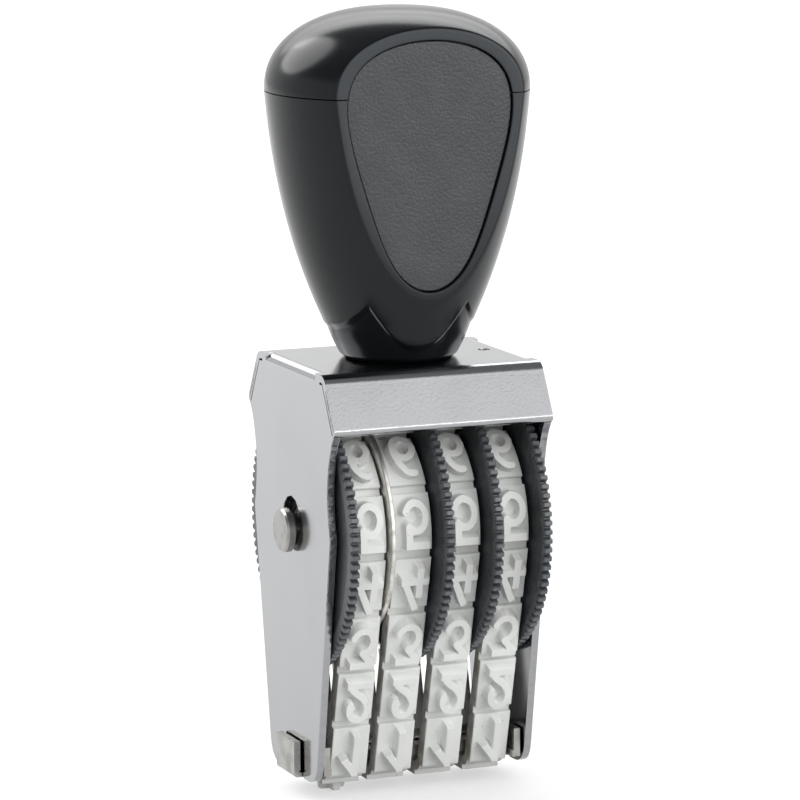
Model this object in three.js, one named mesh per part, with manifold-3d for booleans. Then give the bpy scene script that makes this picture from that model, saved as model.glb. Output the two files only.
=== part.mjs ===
// A hand numbering stamp: a bent chromed frame carries four endless rubber number bands.
// Each band hangs over the drum of a knurled thumb wheel and runs under a bridge at the foot.
// The character under the bridge is the one that prints. A pear-shaped handle stands on top.
// Millimetres, +Z up, front of the stamp towards -Y, floor at z = 0 under the print faces.
import * as THREE from 'three';
import { mergeVertices } from 'three/addons/utils/BufferGeometryUtils.js';
import Module from 'manifold-3d';

const wasm = await Module();
wasm.setup();

// Shared clearances and sheet
const pieceGap = 0.3;            // air between neighbouring pieces
const sheet = 1.0;               // frame sheet thickness
const bendRadius = 1.3;          // outside radius of the bends at the sides
const skirtRadius = 1.6;         // outside radius of the bends above the skirts
const overrun = 2.0;             // how far a cutting shape runs past the face it cuts
const arcSteps = 5;              // flats in a quarter turn of a small bend

// Axle and its keyholes
const axleHeight = 36.1;         // above the floor
const axleRadius = 3.0;          // shaft and heads
const axleNeckRadius = 2.05;     // grooves that sit in the side plates
const headGap = 0.45;            // from a head to its side plate
const headLength = 1.2;
const headChamfer = 0.25;
const keyholeRise = 1.3;         // centre of the upper hole above the axle

// Frame
const frameWidth = 31.2;
const roofRise = 22.6;           // top face of the frame above the axle
const topDepth = 24.6;           // front to rear over the top bends
const skirtDrop = 7.2;           // lower edge of the sloped skirts below the top face
const shoulderDepth = 32.8;
const waistRise = 7.4;           // the side plates draw in this far above the axle
const waistDepth = 26.4;
const cheekRise = 0.9;           // and are full again this far above it
const cheekDepth = 28.2;
const footHeight = 5.0;
const footDepth = 17.4;
const plateBottom = 2.6;         // lower edge of the side plates above the floor
const footRadius = 3.0;
const skirtSeam = 0.15;          // open seam between a skirt and the edges of the side plates behind it
const skirtRoot = 3.0;           // length of flat sheet that a skirt shares with the top
const cornerDrop = 0.5;          // the side plates' corners reach forward this far below the skirts
const cornerInset = 0.8;         // and stay this far behind the skirts' outer faces
const pinHoleRadius = 0.85;      // small round hole through the top, beside the handle
const pinHoleX = 12.5;
const screwHoleRadius = 2.2;

// Thumb wheels
const tipRadius = 19.0;
const toothDepth = 0.7;
const toothCount = 96;
const flangeThickness = 1.1;
const drumWall = 1.4;
const hubRadius = 5.2;
const webThickness = 1.6;
const drumFacets = 32;
const boreFacets = 18;

// Number bands
const bandWidth = 5.3;
const bandThickness = 2.0;       // back of the belt to the face of a block
const grooveDepth = 0.75;
const blockLength = 7.05;
const frontLead = 0.8;           // how far the blocks in front stand past their even places
const leadStep = 0.2;            // how much further each next one stands
const frontBlocks = 7;           // the blocks behind these make the lead up again
const neutralDepth = 0.7;        // layer of the belt that keeps its length round a bend
const characterCount = 15;
const relief = 1.4;              // height of the characters over their blocks
const reliefRoot = 0.35;         // how deep a character is rooted in its block
const characterHeight = 6.0;
const characterWidth = 4.1;
const strokeWidth = 1.05;
const mitreShare = 0.9;          // least denominator of a mitre: sharp joints are cut short
const bandInnerRadius = 12.2;    // back of the belt on the drum
const noseHalf = 3.55;           // half of the flat stretch of belt under the bridge
const noseRadius = 0.95;         // back of the belt round the bridge's lower edges

// Separator disc between the first two bands
const discRadius = 15.4;
const discThickness = 0.6;
const discFacets = 44;

// Bridge under the side plates, inside the bands
const bridgeSheet = 0.9;
const bridgeBend = 1.2;
const channelTop = 5.8;          // upper edge of the channel's front and rear flanges
const tabTop = 7.6;              // upper edge of the tabs outside and the ears inside
const tabWidth = 6.6;
const earFront = 8.0;            // front edge of the ears, from the middle
const earWidth = 3.6;
const tongueBottom = 2.7;        // underside of the tongues where they pass under the plates

// Handle
const bodyLength = 35.7;         // from the neck's underside to the seam under the cap
const domeLength = 11.3;         // from the seam to the top
const handleFacets = 36;
const seamRadius = 17.75;        // the handle's largest radius
const seamGap = 0.2;
const coreRadius = 5.0;          // bore up the middle of the handle
const coreRise = 12.5;           // lower end of that bore above the neck's underside
const capPlugLength = 6.0;
const faceShare = 0.665;         // the handle's flat faces lie at this share of its largest radius
const labelInset = 0.45;         // face of a label plate below its rim
const labelThickness = 0.9;
const labelRise = 7.4;           // top of a label plate above the seam
const labelDrop = 26.0;          // its lower end below the seam
const labelShare = 0.583;        // its half width at its middle, as a share of the handle's largest radius
const labelFacets = 32;

// Handle screw, its washer and the insert that it bites into
const screwRadius = 1.7;
const screwHeadRadius = 3.6;
const screwHeadHeight = 1.15;
const screwLength = 11.0;
const washerRadius = 3.4;
const washerThickness = 0.6;
const washerSplit = 0.7;
const insertRadius = 3.1;
const insertLength = 8.5;
const insertBoreRadius = 2.0;
const insertRise = 1.0;          // the insert's lower end above the neck's underside

// Worked out from the sizes above
const topHeight = axleHeight + roofRise;
const shoulderHeight = topHeight - skirtDrop;
const waistHeight = axleHeight + waistRise;
const cheekHeight = axleHeight + cheekRise;
const handleFoot = topHeight + pieceGap;
const seamHeight = handleFoot + bodyLength;
const handleTop = seamHeight + domeLength;
const coreFloor = handleFoot + coreRise;
const faceDepth = seamRadius * faceShare;
const labelTop = seamHeight + labelRise;
const labelBottom = seamHeight - labelDrop;
const labelReach = seamRadius * labelShare;
const innerHalf = frameWidth / 2 - sheet;
const wheelPitch = flangeThickness + pieceGap + bandWidth + pieceGap;
const drumLength = bandWidth + pieceGap;
const drumRadius = bandInnerRadius - pieceGap;
const blockFaceHeight = relief;
const beltBottom = blockFaceHeight + bandThickness;
const bridgeBottom = beltBottom + pieceGap;
const channelHalf = noseHalf + noseRadius - pieceGap;
const boreRadius = axleRadius + pieceGap;
const lastBandStart = innerHalf - pieceGap - flangeThickness - drumLength;
const bandStarts = [
  pieceGap + flangeThickness + pieceGap - innerHalf,
  lastBandStart - wheelPitch * 2,
  lastBandStart - wheelPitch,
  lastBandStart,
];

const white = 0xe4e6e3;
const black = 0x24272a;
const steel = 0xc4c7ca;

// Turning triangles into solids and back

function solidOf(geometry) {
  const bare = geometry.clone();
  bare.deleteAttribute('normal');
  bare.deleteAttribute('uv');
  const merged = mergeVertices(bare);
  return new wasm.Manifold(new wasm.Mesh({
    numProp: 3,
    vertProperties: new Float32Array(merged.attributes.position.array),
    triVerts: new Uint32Array(merged.index.array),
  }));
}

function geometryOf(solid) {
  const mesh = solid.getMesh();
  const geometry = new THREE.BufferGeometry();
  geometry.setAttribute('position', new THREE.BufferAttribute(new Float32Array(mesh.vertProperties), 3));
  geometry.setIndex(new THREE.BufferAttribute(new Uint32Array(mesh.triVerts), 1));
  geometry.computeVertexNormals();
  return geometry;
}

function joined(solids) {
  return solids.reduce((whole, next) => whole.add(next));
}

const points2 = (pairs) => pairs.map(([a, b]) => new THREE.Vector2(a, b));

// A flat outline in (y, z) given its thickness along X
function extrudedAlongX(shape, xLow, xHigh, facets = arcSteps) {
  const geometry = new THREE.ExtrudeGeometry(shape, {
    depth: xHigh - xLow, bevelEnabled: false, curveSegments: facets,
  });
  const turn = new THREE.Matrix4().makeBasis(
    new THREE.Vector3(0, 1, 0), new THREE.Vector3(0, 0, 1), new THREE.Vector3(1, 0, 0));
  geometry.applyMatrix4(turn);
  geometry.translate(xLow, 0, 0);
  return solidOf(geometry);
}

// A flat outline in (x, z) given its thickness along Y
function extrudedAlongY(shape, yLow, yHigh, facets = arcSteps) {
  const geometry = new THREE.ExtrudeGeometry(shape, {
    depth: yHigh - yLow, bevelEnabled: false, curveSegments: facets,
  });
  geometry.rotateX(Math.PI / 2);
  geometry.translate(0, yHigh, 0);
  return solidOf(geometry);
}

function boxBetween(low, high) {
  const geometry = new THREE.BoxGeometry(high[0] - low[0], high[1] - low[1], high[2] - low[2]);
  geometry.translate((low[0] + high[0]) / 2, (low[1] + high[1]) / 2, (low[2] + high[2]) / 2);
  return solidOf(geometry);
}

// A profile of (radius, height) pairs turned round Z, rising up the outside
function turnedAboutZ(profile, facets) {
  return solidOf(new THREE.LatheGeometry(points2(profile), facets).rotateX(Math.PI / 2));
}

// The same profile turned round the axle, with its heights running along X
function turnedAboutAxle(profile, facets) {
  const geometry = new THREE.LatheGeometry(points2(profile), facets).rotateZ(-Math.PI / 2);
  geometry.translate(0, 0, axleHeight);
  return solidOf(geometry);
}

// A ring profile closed on itself: outside up, inside down
const closedProfile = (profile) => [...profile, profile[0]];

// An open path with its inner corners rounded to one radius
function rounded(path, radius) {
  const out = [path[0]];
  for (let i = 1; i < path.length - 1; i += 1) {
    const before = new THREE.Vector2().subVectors(path[i - 1], path[i]).normalize();
    const after = new THREE.Vector2().subVectors(path[i + 1], path[i]).normalize();
    const half = Math.acos(THREE.MathUtils.clamp(before.dot(after), -1, 1)) / 2;
    const reach = radius / Math.tan(half);
    const centre = before.clone().add(after).normalize().multiplyScalar(radius / Math.sin(half)).add(path[i]);
    const start = path[i].clone().addScaledVector(before, reach).sub(centre);
    const end = path[i].clone().addScaledVector(after, reach).sub(centre);
    const sweep = Math.atan2(start.cross(end), start.dot(end));
    for (let k = 0; k <= arcSteps; k += 1) {
      out.push(start.clone().rotateAround(new THREE.Vector2(), sweep * k / arcSteps).add(centre));
    }
  }
  out.push(path[path.length - 1]);
  return out;
}

// The path moved sideways by a distance to its left, with mitred corners
function offsetPath(path, distance, closed = false) {
  const count = path.length;
  return path.map((point, i) => {
    const last = i === count - 1;
    const before = i > 0 || closed ? path[(i + count - 1) % count] : null;
    const after = !last || closed ? path[(i + 1) % count] : null;
    const inward = before ? new THREE.Vector2().subVectors(point, before).normalize() : null;
    const outward = after ? new THREE.Vector2().subVectors(after, point).normalize() : null;
    const a = inward ?? outward;
    const b = outward ?? inward;
    const normal = new THREE.Vector2(-a.y - b.y, a.x + b.x);
    const stretch = Math.max(1 + a.dot(b), mitreShare);
    return point.clone().addScaledVector(normal, distance / stretch);
  });
}

// Bent sheet seen from its edge: the path is one face, the other lies to its left
function sheetShape(path, thickness) {
  return new THREE.Shape([...path, ...offsetPath(path, thickness).reverse()]);
}

// Frame

// Shares that shape a side plate's edge between the corner under a skirt and the waist
const waistPullShares = { outward: 0.23, down: 0.3 };
const cornerStepShare = 0.7;

function sidePlateShape() {
  const slope = (shoulderDepth - topDepth) / 2 / (topHeight - shoulderHeight);
  const setBack = (sheet + skirtSeam) * Math.hypot(1, slope);
  const bendHeight = topHeight - bendRadius;
  const bendHalf = topDepth / 2 + slope * bendRadius - setBack;
  const shoulderHalf = shoulderDepth / 2 - setBack;
  const cornerHalf = shoulderDepth / 2 - cornerInset;
  const cornerTop = shoulderHeight - cornerDrop;
  const waistHalf = waistDepth / 2;
  const cheekHalf = cheekDepth / 2;
  const footHalf = footDepth / 2;
  const taper = (cheekHalf - footHalf) / (cheekHeight - footHeight);
  const soleHalf = footHalf - taper * (footHeight - plateBottom);
  const soleCorner = plateBottom + footRadius;
  const notchHalf = tabWidth / 2 + pieceGap;
  const notchTop = tongueBottom + bridgeSheet + pieceGap;
  const pullHalf = THREE.MathUtils.lerp(waistHalf, cornerHalf, waistPullShares.outward);
  const pullHeight = THREE.MathUtils.lerp(cornerTop, waistHeight, waistPullShares.down);
  const lowerPull = (waistHeight + cheekHeight) / 2;
  const shape = new THREE.Shape();
  shape.moveTo(-bendHalf, bendHeight);
  shape.lineTo(-shoulderHalf, cornerTop + cornerDrop * cornerStepShare);
  shape.lineTo(-cornerHalf, cornerTop);
  shape.quadraticCurveTo(-pullHalf, pullHeight, -waistHalf, waistHeight);
  shape.quadraticCurveTo(-waistHalf, lowerPull, -cheekHalf, cheekHeight);
  shape.lineTo(-soleHalf - taper * footRadius, soleCorner);
  shape.quadraticCurveTo(-soleHalf, plateBottom, footRadius - soleHalf, plateBottom);
  shape.lineTo(-notchHalf, plateBottom);
  shape.lineTo(-notchHalf, notchTop);
  shape.lineTo(notchHalf, notchTop);
  shape.lineTo(notchHalf, plateBottom);
  shape.lineTo(soleHalf - footRadius, plateBottom);
  shape.quadraticCurveTo(soleHalf, plateBottom, soleHalf + taper * footRadius, soleCorner);
  shape.lineTo(cheekHalf, cheekHeight);
  shape.quadraticCurveTo(waistHalf, lowerPull, waistHalf, waistHeight);
  shape.quadraticCurveTo(pullHalf, pullHeight, cornerHalf, cornerTop);
  shape.lineTo(shoulderHalf, cornerTop + cornerDrop * cornerStepShare);
  shape.lineTo(bendHalf, bendHeight);
  shape.holes.push(keyholePath());
  return shape;
}

// The heads pass the upper circle, and the neck then drops into the lower one
function keyholePath() {
  const slot = axleNeckRadius + pieceGap;
  const hole = axleRadius + pieceGap;
  const meet = (slot ** 2 - hole ** 2 + keyholeRise ** 2) / (keyholeRise * 2);
  const across = Math.sqrt(slot ** 2 - meet ** 2);
  const upper = Math.atan2(meet - keyholeRise, across);
  const lower = Math.atan2(meet, across);
  const path = new THREE.Path();
  path.absarc(0, axleHeight + keyholeRise, hole, upper, Math.PI - upper, false);
  path.absarc(0, axleHeight, slot, Math.PI - lower, Math.PI * 2 + lower, false);
  path.closePath();
  return path;
}

function buildFrame() {
  const edge = frameWidth / 2;
  const stub = topHeight - bendRadius * 2;
  const saddlePath = rounded(points2([
    [-edge, stub], [-edge, topHeight], [edge, topHeight], [edge, stub],
  ]).reverse(), bendRadius);
  const saddleHalf = topDepth / 2 - skirtRadius;
  const saddle = extrudedAlongY(sheetShape(saddlePath, sheet), -saddleHalf, saddleHalf);
  const plates = [-edge, edge - sheet].map((x) => extrudedAlongX(sidePlateShape(), x, x + sheet));
  const skirts = [-1, 1].map((side) => {
    const path = rounded(points2([
      [side * (topDepth / 2 - skirtRoot), topHeight],
      [side * topDepth / 2, topHeight],
      [side * shoulderDepth / 2, shoulderHeight],
    ]), skirtRadius);
    return extrudedAlongX(sheetShape(path, sheet * -side), -edge, edge);
  });
  const frame = joined([saddle, ...plates, ...skirts]);
  const drill = (x, radius) => turnedAboutZ([
    [0, topHeight - sheet - overrun], [radius, topHeight - sheet - overrun],
    [radius, topHeight + overrun], [0, topHeight + overrun],
  ], boreFacets).translate([x, 0, 0]);
  return frame.subtract(drill(0, screwHoleRadius)).subtract(drill(pinHoleX, pinHoleRadius));
}

// Axle: one turned pin with a groove where each side plate grips it

function buildAxle() {
  const grooveIn = innerHalf - pieceGap;
  const grooveOut = frameWidth / 2 + headGap;
  const end = grooveOut + headLength;
  const half = [
    [axleRadius, grooveIn],
    [axleNeckRadius, grooveIn],
    [axleNeckRadius, grooveOut],
    [axleRadius, grooveOut],
    [axleRadius, end - headChamfer],
    [axleRadius - headChamfer, end],
    [0, end],
  ];
  const mirrored = half.map(([r, x]) => [r, -x]).reverse();
  return turnedAboutAxle([...mirrored, ...half], boreFacets + arcSteps);
}

// Thumb wheel: a knurled flange with a drum beside it that carries the band

function knurledShape() {
  const tooth = Math.PI * 2 / toothCount;
  const tips = Array.from({ length: toothCount * 2 }, (_, i) => {
    const radius = i % 2 ? tipRadius - toothDepth : tipRadius;
    const turn = tooth * i / 2;
    return new THREE.Vector2(radius * Math.cos(turn), axleHeight + radius * Math.sin(turn));
  });
  const shape = new THREE.Shape(tips);
  const hole = new THREE.Path();
  hole.absarc(0, axleHeight, drumRadius - drumWall / 2, 0, Math.PI * 2, true);
  shape.holes.push(hole);
  return shape;
}

// The flange's outer face is at x; side is +1 where the drum runs towards +X
function buildWheel(x, side) {
  const flange = extrudedAlongX(knurledShape(), 0, flangeThickness, drumFacets / 4);
  const length = flangeThickness + drumLength;
  const drum = turnedAboutAxle(closedProfile([
    [boreRadius, 0],
    [drumRadius, 0],
    [drumRadius, length],
    [drumRadius - drumWall, length],
    [drumRadius - drumWall, webThickness],
    [hubRadius, webThickness],
    [hubRadius, length],
    [boreRadius, length],
  ]), drumFacets);
  const wheel = flange.add(drum);
  const faced = side > 0 ? wheel : wheel.mirror([1, 0, 0]);
  return faced.translate([x, 0, 0]);
}

function buildDisc(x) {
  const shape = new THREE.Shape();
  shape.absarc(0, axleHeight, discRadius, 0, Math.PI * 2, false);
  const hole = new THREE.Path();
  hole.absarc(0, axleHeight, boreRadius, 0, Math.PI * 2, true);
  shape.holes.push(hole);
  return extrudedAlongX(shape, x, x + discThickness, discFacets / 2);
}

// Number band: a closed belt of blocks, worked out along its back from under the bridge

// Where the belt leaves the bridge and meets the drum, as seen in (y, z) at the front
const noseCentre = new THREE.Vector2(-noseHalf, beltBottom + noseRadius);
const drumCentre = new THREE.Vector2(0, axleHeight);
const centreSpan = noseCentre.distanceTo(drumCentre);
const tangentTilt = Math.atan2(drumCentre.y - noseCentre.y, noseHalf)
  - Math.acos((bandInnerRadius - noseRadius) / centreSpan);
const runLength = Math.sqrt(centreSpan ** 2 - (bandInnerRadius - noseRadius) ** 2);
const noseTurn = Math.PI / 2 - tangentTilt;
const drumTurn = Math.PI / 2 + tangentTilt;
const stretches = [
  noseHalf,
  (noseRadius + neutralDepth) * noseTurn,
  runLength,
  (bandInnerRadius + neutralDepth) * drumTurn,
];
const halfLoop = stretches.reduce((sum, length) => sum + length);
const characterPitch = halfLoop * 2 / characterCount;

// A point of the belt, a distance along its neutral layer and a depth out from its back
function beltPoint(along, depth) {
  const wrapped = ((along % (halfLoop * 2)) + halfLoop * 2) % (halfLoop * 2);
  const rear = wrapped > halfLoop;
  let rest = rear ? halfLoop * 2 - wrapped : wrapped;
  const out = new THREE.Vector2();
  const from = (centre, radius, turn) => out.set(
    centre.x - Math.sin(turn) * (radius + depth), centre.y - Math.cos(turn) * (radius + depth));
  if (rest <= stretches[0]) {
    out.set(-rest, beltBottom - depth);
  } else if ((rest -= stretches[0]) <= stretches[1]) {
    from(noseCentre, noseRadius, noseTurn * rest / stretches[1]);
  } else if ((rest -= stretches[1]) <= stretches[2]) {
    from(noseCentre, noseRadius, noseTurn);
    out.x -= Math.cos(noseTurn) * rest;
    out.y += Math.sin(noseTurn) * rest;
  } else {
    rest -= stretches[2];
    from(drumCentre, bandInnerRadius, noseTurn + drumTurn * rest / stretches[3]);
  }
  if (rear) out.x *= -1;
  return out;
}

// Middle of a block along the belt; the first one is the printing place and stays under the bridge
function blockMiddle(index) {
  if (index === 0) return 0;
  const lead = frontLead + leadStep * Math.min(index, frontBlocks);
  const share = Math.min(1, (characterCount - index) / (characterCount - frontBlocks));
  return characterPitch * index + lead * share;
}

function beltShape() {
  const outer = [];
  for (let i = 0; i < characterCount; i += 1) {
    const middle = blockMiddle(i);
    const start = middle - blockLength / 2;
    const end = middle + blockLength / 2;
    outer.push(beltPoint(start, bandThickness - grooveDepth));
    outer.push(beltPoint(start, bandThickness));
    outer.push(beltPoint(end, bandThickness));
    outer.push(beltPoint(end, bandThickness - grooveDepth));
  }
  const shape = new THREE.Shape(outer.reverse());
  const inner = [];
  const noseStart = stretches[0];
  for (const side of [-1, 1]) {
    const marks = [];
    for (let k = 0; k <= arcSteps; k += 1) marks.push(noseStart + stretches[1] * k / arcSteps);
    const lift = noseStart + stretches[1] + stretches[2];
    for (let k = 0; k <= arcSteps * 2; k += 1) marks.push(lift + stretches[3] * k / (arcSteps * 2 + 1));
    const ordered = side > 0 ? marks : marks.reverse();
    for (const mark of ordered) inner.push(beltPoint(mark * side, 0));
  }
  shape.holes.push(new THREE.Path(inner));
  return shape;
}

// Characters, as centre lines in shares of the width and height between stroke centres

const arc = (x, y, across, up, from, to, steps) => Array.from({ length: steps + 1 }, (_, k) => {
  const turn = THREE.MathUtils.degToRad(from + (to - from) * k / steps);
  return [x + across * Math.cos(turn), y + up * Math.sin(turn)];
});

const characterShares = [
  [{ line: [[-0.4, 0], [0.4, 0]] }, { line: [[0, -0.3], [0, 0.3]] }],
  [{ line: [[-0.32, 0.2], [0.08, 0.5], [0.08, -0.5]] }],
  [{ line: [...arc(0, 0.22, 0.48, 0.28, 165, -35, 5), [-0.5, -0.5], [0.5, -0.5]] }],
  [{ line: [[-0.45, 0.5], [0.42, 0.5], [0, 0.12], ...arc(-0.02, -0.18, 0.5, 0.32, 62, -155, 5)] }],
  [{ line: [[0.05, 0.5], [-0.5, -0.2], [0.5, -0.2]] }, { line: [[0.2, 0.1], [0.2, -0.5]] }],
  [{ line: [[0.4, 0.5], [-0.34, 0.5], [-0.4, 0.06], ...arc(-0.02, -0.17, 0.5, 0.33, 105, -150, 5)] }],
  [{ loop: arc(0, -0.2, 0.48, 0.3, 0, 315, 7) }, { line: arc(0.16, -0.16, 0.66, 0.66, 75, 180, 4) }],
  [{ line: [[-0.5, 0.5], [0.5, 0.5], [-0.15, -0.5]] }],
  [{ loop: arc(0, 0.25, 0.4, 0.25, 0, 315, 7) }, { loop: arc(0, -0.24, 0.5, 0.27, 0, 315, 7) }],
  [{ loop: arc(0, 0.2, 0.48, 0.3, 0, 315, 7) }, { line: arc(-0.16, 0.16, 0.66, 0.66, 255, 360, 4) }],
  [{ loop: arc(0, 0, 0.5, 0.5, 0, 324, 9) }],
  [{ line: [[-0.4, -0.5], [0.4, 0.5]] }],
  [{ line: [[-0.4, 0], [0.4, 0]] }],
  [{ line: [[0, -0.5], [0, -0.3]] }],
  [{ line: [[0, 0.2], [0, 0.4]] }, { line: [[0, -0.4], [0, -0.2]] }],
];

// One stroke as an outline; the heights are turned over, because a stamp's type is mirrored
function strokeShape(stroke) {
  const across = characterWidth - strokeWidth;
  const up = characterHeight - strokeWidth;
  const centre = (stroke.loop ?? stroke.line).map(([x, y]) => new THREE.Vector2(x * across, -y * up));
  const closed = Boolean(stroke.loop);
  const left = offsetPath(centre, strokeWidth / 2, closed);
  const right = offsetPath(centre, -strokeWidth / 2, closed);
  if (!closed) return new THREE.Shape([...left, ...right.reverse()]);
  const shape = new THREE.Shape(left.reverse());
  shape.holes.push(new THREE.Path(right));
  return shape;
}

function buildCharacter(index, x) {
  const middle = blockMiddle(index);
  const low = beltPoint(middle - blockLength / 2, bandThickness);
  const high = beltPoint(middle + blockLength / 2, bandThickness);
  const rise = new THREE.Vector2().subVectors(high, low).normalize();
  const place = new THREE.Matrix4().makeBasis(
    new THREE.Vector3(1, 0, 0),
    new THREE.Vector3(0, rise.x, rise.y),
    new THREE.Vector3(0, -rise.y, rise.x));
  place.setPosition(x, (low.x + high.x) / 2, (low.y + high.y) / 2);
  return joined(characterShares[index].map((stroke) => {
    const geometry = new THREE.ExtrudeGeometry(strokeShape(stroke), {
      depth: relief + reliefRoot, bevelEnabled: false,
    });
    geometry.translate(0, 0, -reliefRoot);
    geometry.applyMatrix4(place);
    return solidOf(geometry);
  }));
}

// The first place holds a sign on the first band and stays blank on the others
function buildBand(xStart, order) {
  const belt = extrudedAlongX(beltShape(), xStart, xStart + bandWidth);
  const middle = xStart + bandWidth / 2;
  const characters = characterShares.map((_, index) => (
    index === 0 && order > 0 ? [] : buildCharacter(index, middle)));
  return joined([belt, ...characters.flat()]);
}

// Bridge: a channel inside the bands, ears inside the plates and a tab clinched outside each

function buildBridge() {
  const earOuter = innerHalf - pieceGap;
  const tabOuter = frameWidth / 2 + pieceGap + bridgeSheet;
  const bandEdge = lastBandStart + bandWidth;
  const floorStart = bandEdge + pieceGap;
  const channelEnd = floorStart + bridgeSheet / 2;
  const channelPath = rounded(points2([
    [-channelHalf, channelTop], [-channelHalf, bridgeBottom],
    [channelHalf, bridgeBottom], [channelHalf, channelTop],
  ]), bridgeBend);
  const channel = extrudedAlongX(sheetShape(channelPath, bridgeSheet), -channelEnd, channelEnd);
  const ears = [];
  const tongues = [];
  for (const side of [-1, 1]) {
    const earPath = rounded(points2([
      [side * floorStart, bridgeBottom],
      [side * earOuter, bridgeBottom],
      [side * earOuter, tabTop],
    ]), bridgeSheet);
    const floorPath = points2([[side * floorStart, bridgeBottom], [side * earOuter, bridgeBottom]]);
    const tonguePath = rounded(points2([
      [side * (floorStart - bridgeBend * 2), bridgeBottom],
      [side * floorStart, bridgeBottom],
      [side * earOuter, tongueBottom],
      [side * tabOuter, tongueBottom],
      [side * tabOuter, tabTop],
    ]), bridgeSheet / 2);
    const leaf = (path, low, high) => extrudedAlongY(sheetShape(path, bridgeSheet * side), low, high);
    ears.push(leaf(earPath, -earFront, -earFront + earWidth));
    ears.push(leaf(earPath, earFront - earWidth, earFront));
    ears.push(leaf(floorPath, -earFront, -tabWidth / 2 - pieceGap));
    ears.push(leaf(floorPath, tabWidth / 2 + pieceGap, earFront));
    tongues.push(leaf(tonguePath, -tabWidth / 2, tabWidth / 2));
  }
  return joined([channel, ...ears, ...tongues]);
}

// Handle: a turned body and cap, cut flat front and rear, with a label plate set in each flat

// Radii as shares of the radius at the seam, heights as shares of the stretch they lie in
const bodyShares = [
  [0.43, 0], [0.47, 0.02], [0.51, 0.065], [0.59, 0.155], [0.667, 0.245], [0.735, 0.335], [0.795, 0.43],
  [0.845, 0.52], [0.887, 0.61], [0.924, 0.7], [0.952, 0.79], [0.978, 0.88], [1, 1],
];
const domeShares = [
  [1, 0], [0.985, 0.18], [0.95, 0.34], [0.905, 0.48], [0.84, 0.62], [0.74, 0.765], [0.6, 0.88], [0.36, 0.965], [0, 1],
];
// A label plate is widest above its middle and pointed below: half width = reach * sin t * (1 + lift cos t + pinch cos2 t)
const labelShares = { lift: 0.471, pinch: 0.339 };

const bodyPoint = ([r, h]) => [r * seamRadius, handleFoot + h * (seamHeight - handleFoot)];
const domePoint = ([r, h]) => [r * seamRadius, seamHeight + h * (handleTop - seamHeight)];

function handleSolid() {
  const profile = [[0, handleFoot], ...bodyShares.map(bodyPoint), ...domeShares.slice(1).map(domePoint)];
  return turnedAboutZ(profile, handleFacets);
}

// A label plate's outline in (x, z), running anticlockwise from its top
function labelShape(grow) {
  const reach = labelReach + grow;
  const half = (labelTop - labelBottom) / 2 + grow;
  return new THREE.Shape(Array.from({ length: labelFacets }, (_, k) => {
    const turn = Math.PI * 2 * k / labelFacets;
    const rise = Math.cos(turn);
    const swell = 1 + labelShares.lift * rise + labelShares.pinch * rise ** 2;
    return new THREE.Vector2(-reach * Math.sin(turn) * swell, (labelTop + labelBottom) / 2 + half * rise);
  }));
}

function buildHandle() {
  const reach = seamRadius + overrun;
  const labelBack = faceDepth - labelInset - labelThickness;
  const pocket = extrudedAlongY(labelShape(pieceGap / 2), labelBack - pieceGap, reach);
  const label = extrudedAlongY(labelShape(-pieceGap / 2), labelBack, faceDepth - labelInset);
  const flats = boxBetween([-reach, -faceDepth, handleFoot - overrun], [reach, faceDepth, handleTop + overrun]);
  const core = turnedAboutZ([
    [0, coreFloor], [coreRadius, coreFloor], [coreRadius, seamHeight + overrun], [0, seamHeight + overrun],
  ], boreFacets);
  const insertPocket = turnedAboutZ([
    [0, handleFoot - overrun], [insertRadius + pieceGap, handleFoot - overrun],
    [insertRadius + pieceGap, handleFoot + insertRise + insertLength + pieceGap],
    [0, handleFoot + insertRise + insertLength + pieceGap],
  ], boreFacets);
  const faced = handleSolid().intersect(flats).subtract(pocket).subtract(pocket.mirror([0, 1, 0]));
  const below = boxBetween([-reach, -reach, handleFoot - overrun], [reach, reach, seamHeight - seamGap / 2]);
  const above = boxBetween([-reach, -reach, seamHeight + seamGap / 2], [reach, reach, handleTop + overrun]);
  const plugRadius = coreRadius - pieceGap;
  const plug = turnedAboutZ([
    [0, seamHeight - capPlugLength], [plugRadius, seamHeight - capPlugLength],
    [plugRadius, seamHeight + overrun], [0, seamHeight + overrun],
  ], boreFacets);
  return {
    body: faced.intersect(below).subtract(core).subtract(insertPocket),
    cap: faced.intersect(above).add(plug),
    front: label.mirror([0, 1, 0]),
    rear: label,
  };
}

// Screw, lock washer and insert, stacked under the frame's top plate

function buildScrew() {
  const seat = topHeight - sheet - pieceGap - washerThickness - pieceGap;
  return turnedAboutZ([
    [0, seat - screwHeadHeight],
    [screwHeadRadius - headChamfer, seat - screwHeadHeight],
    [screwHeadRadius, seat - screwHeadHeight + headChamfer],
    [screwHeadRadius, seat],
    [screwRadius, seat],
    [screwRadius, seat + screwLength],
    [0, seat + screwLength],
  ], boreFacets);
}

function buildWasher() {
  const top = topHeight - sheet - pieceGap;
  const bore = screwRadius + pieceGap;
  const ring = turnedAboutZ(closedProfile([
    [bore, top - washerThickness], [washerRadius, top - washerThickness], [washerRadius, top], [bore, top],
  ]), boreFacets);
  const split = boxBetween(
    [0, -washerSplit / 2, top - washerThickness - overrun], [washerRadius + overrun, washerSplit / 2, top + overrun]);
  return ring.subtract(split);
}

function buildInsert() {
  const low = handleFoot + insertRise;
  return turnedAboutZ(closedProfile([
    [insertBoreRadius, low], [insertRadius, low],
    [insertRadius, low + insertLength], [insertBoreRadius, low + insertLength],
  ]), boreFacets);
}

// Assembly

const object = new THREE.Group();

function addPiece(name, solid, color, roughness, metalness) {
  const material = new THREE.MeshStandardMaterial({ color, roughness, metalness });
  const mesh = new THREE.Mesh(geometryOf(solid), material);
  mesh.name = name;
  object.add(mesh);
}

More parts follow.
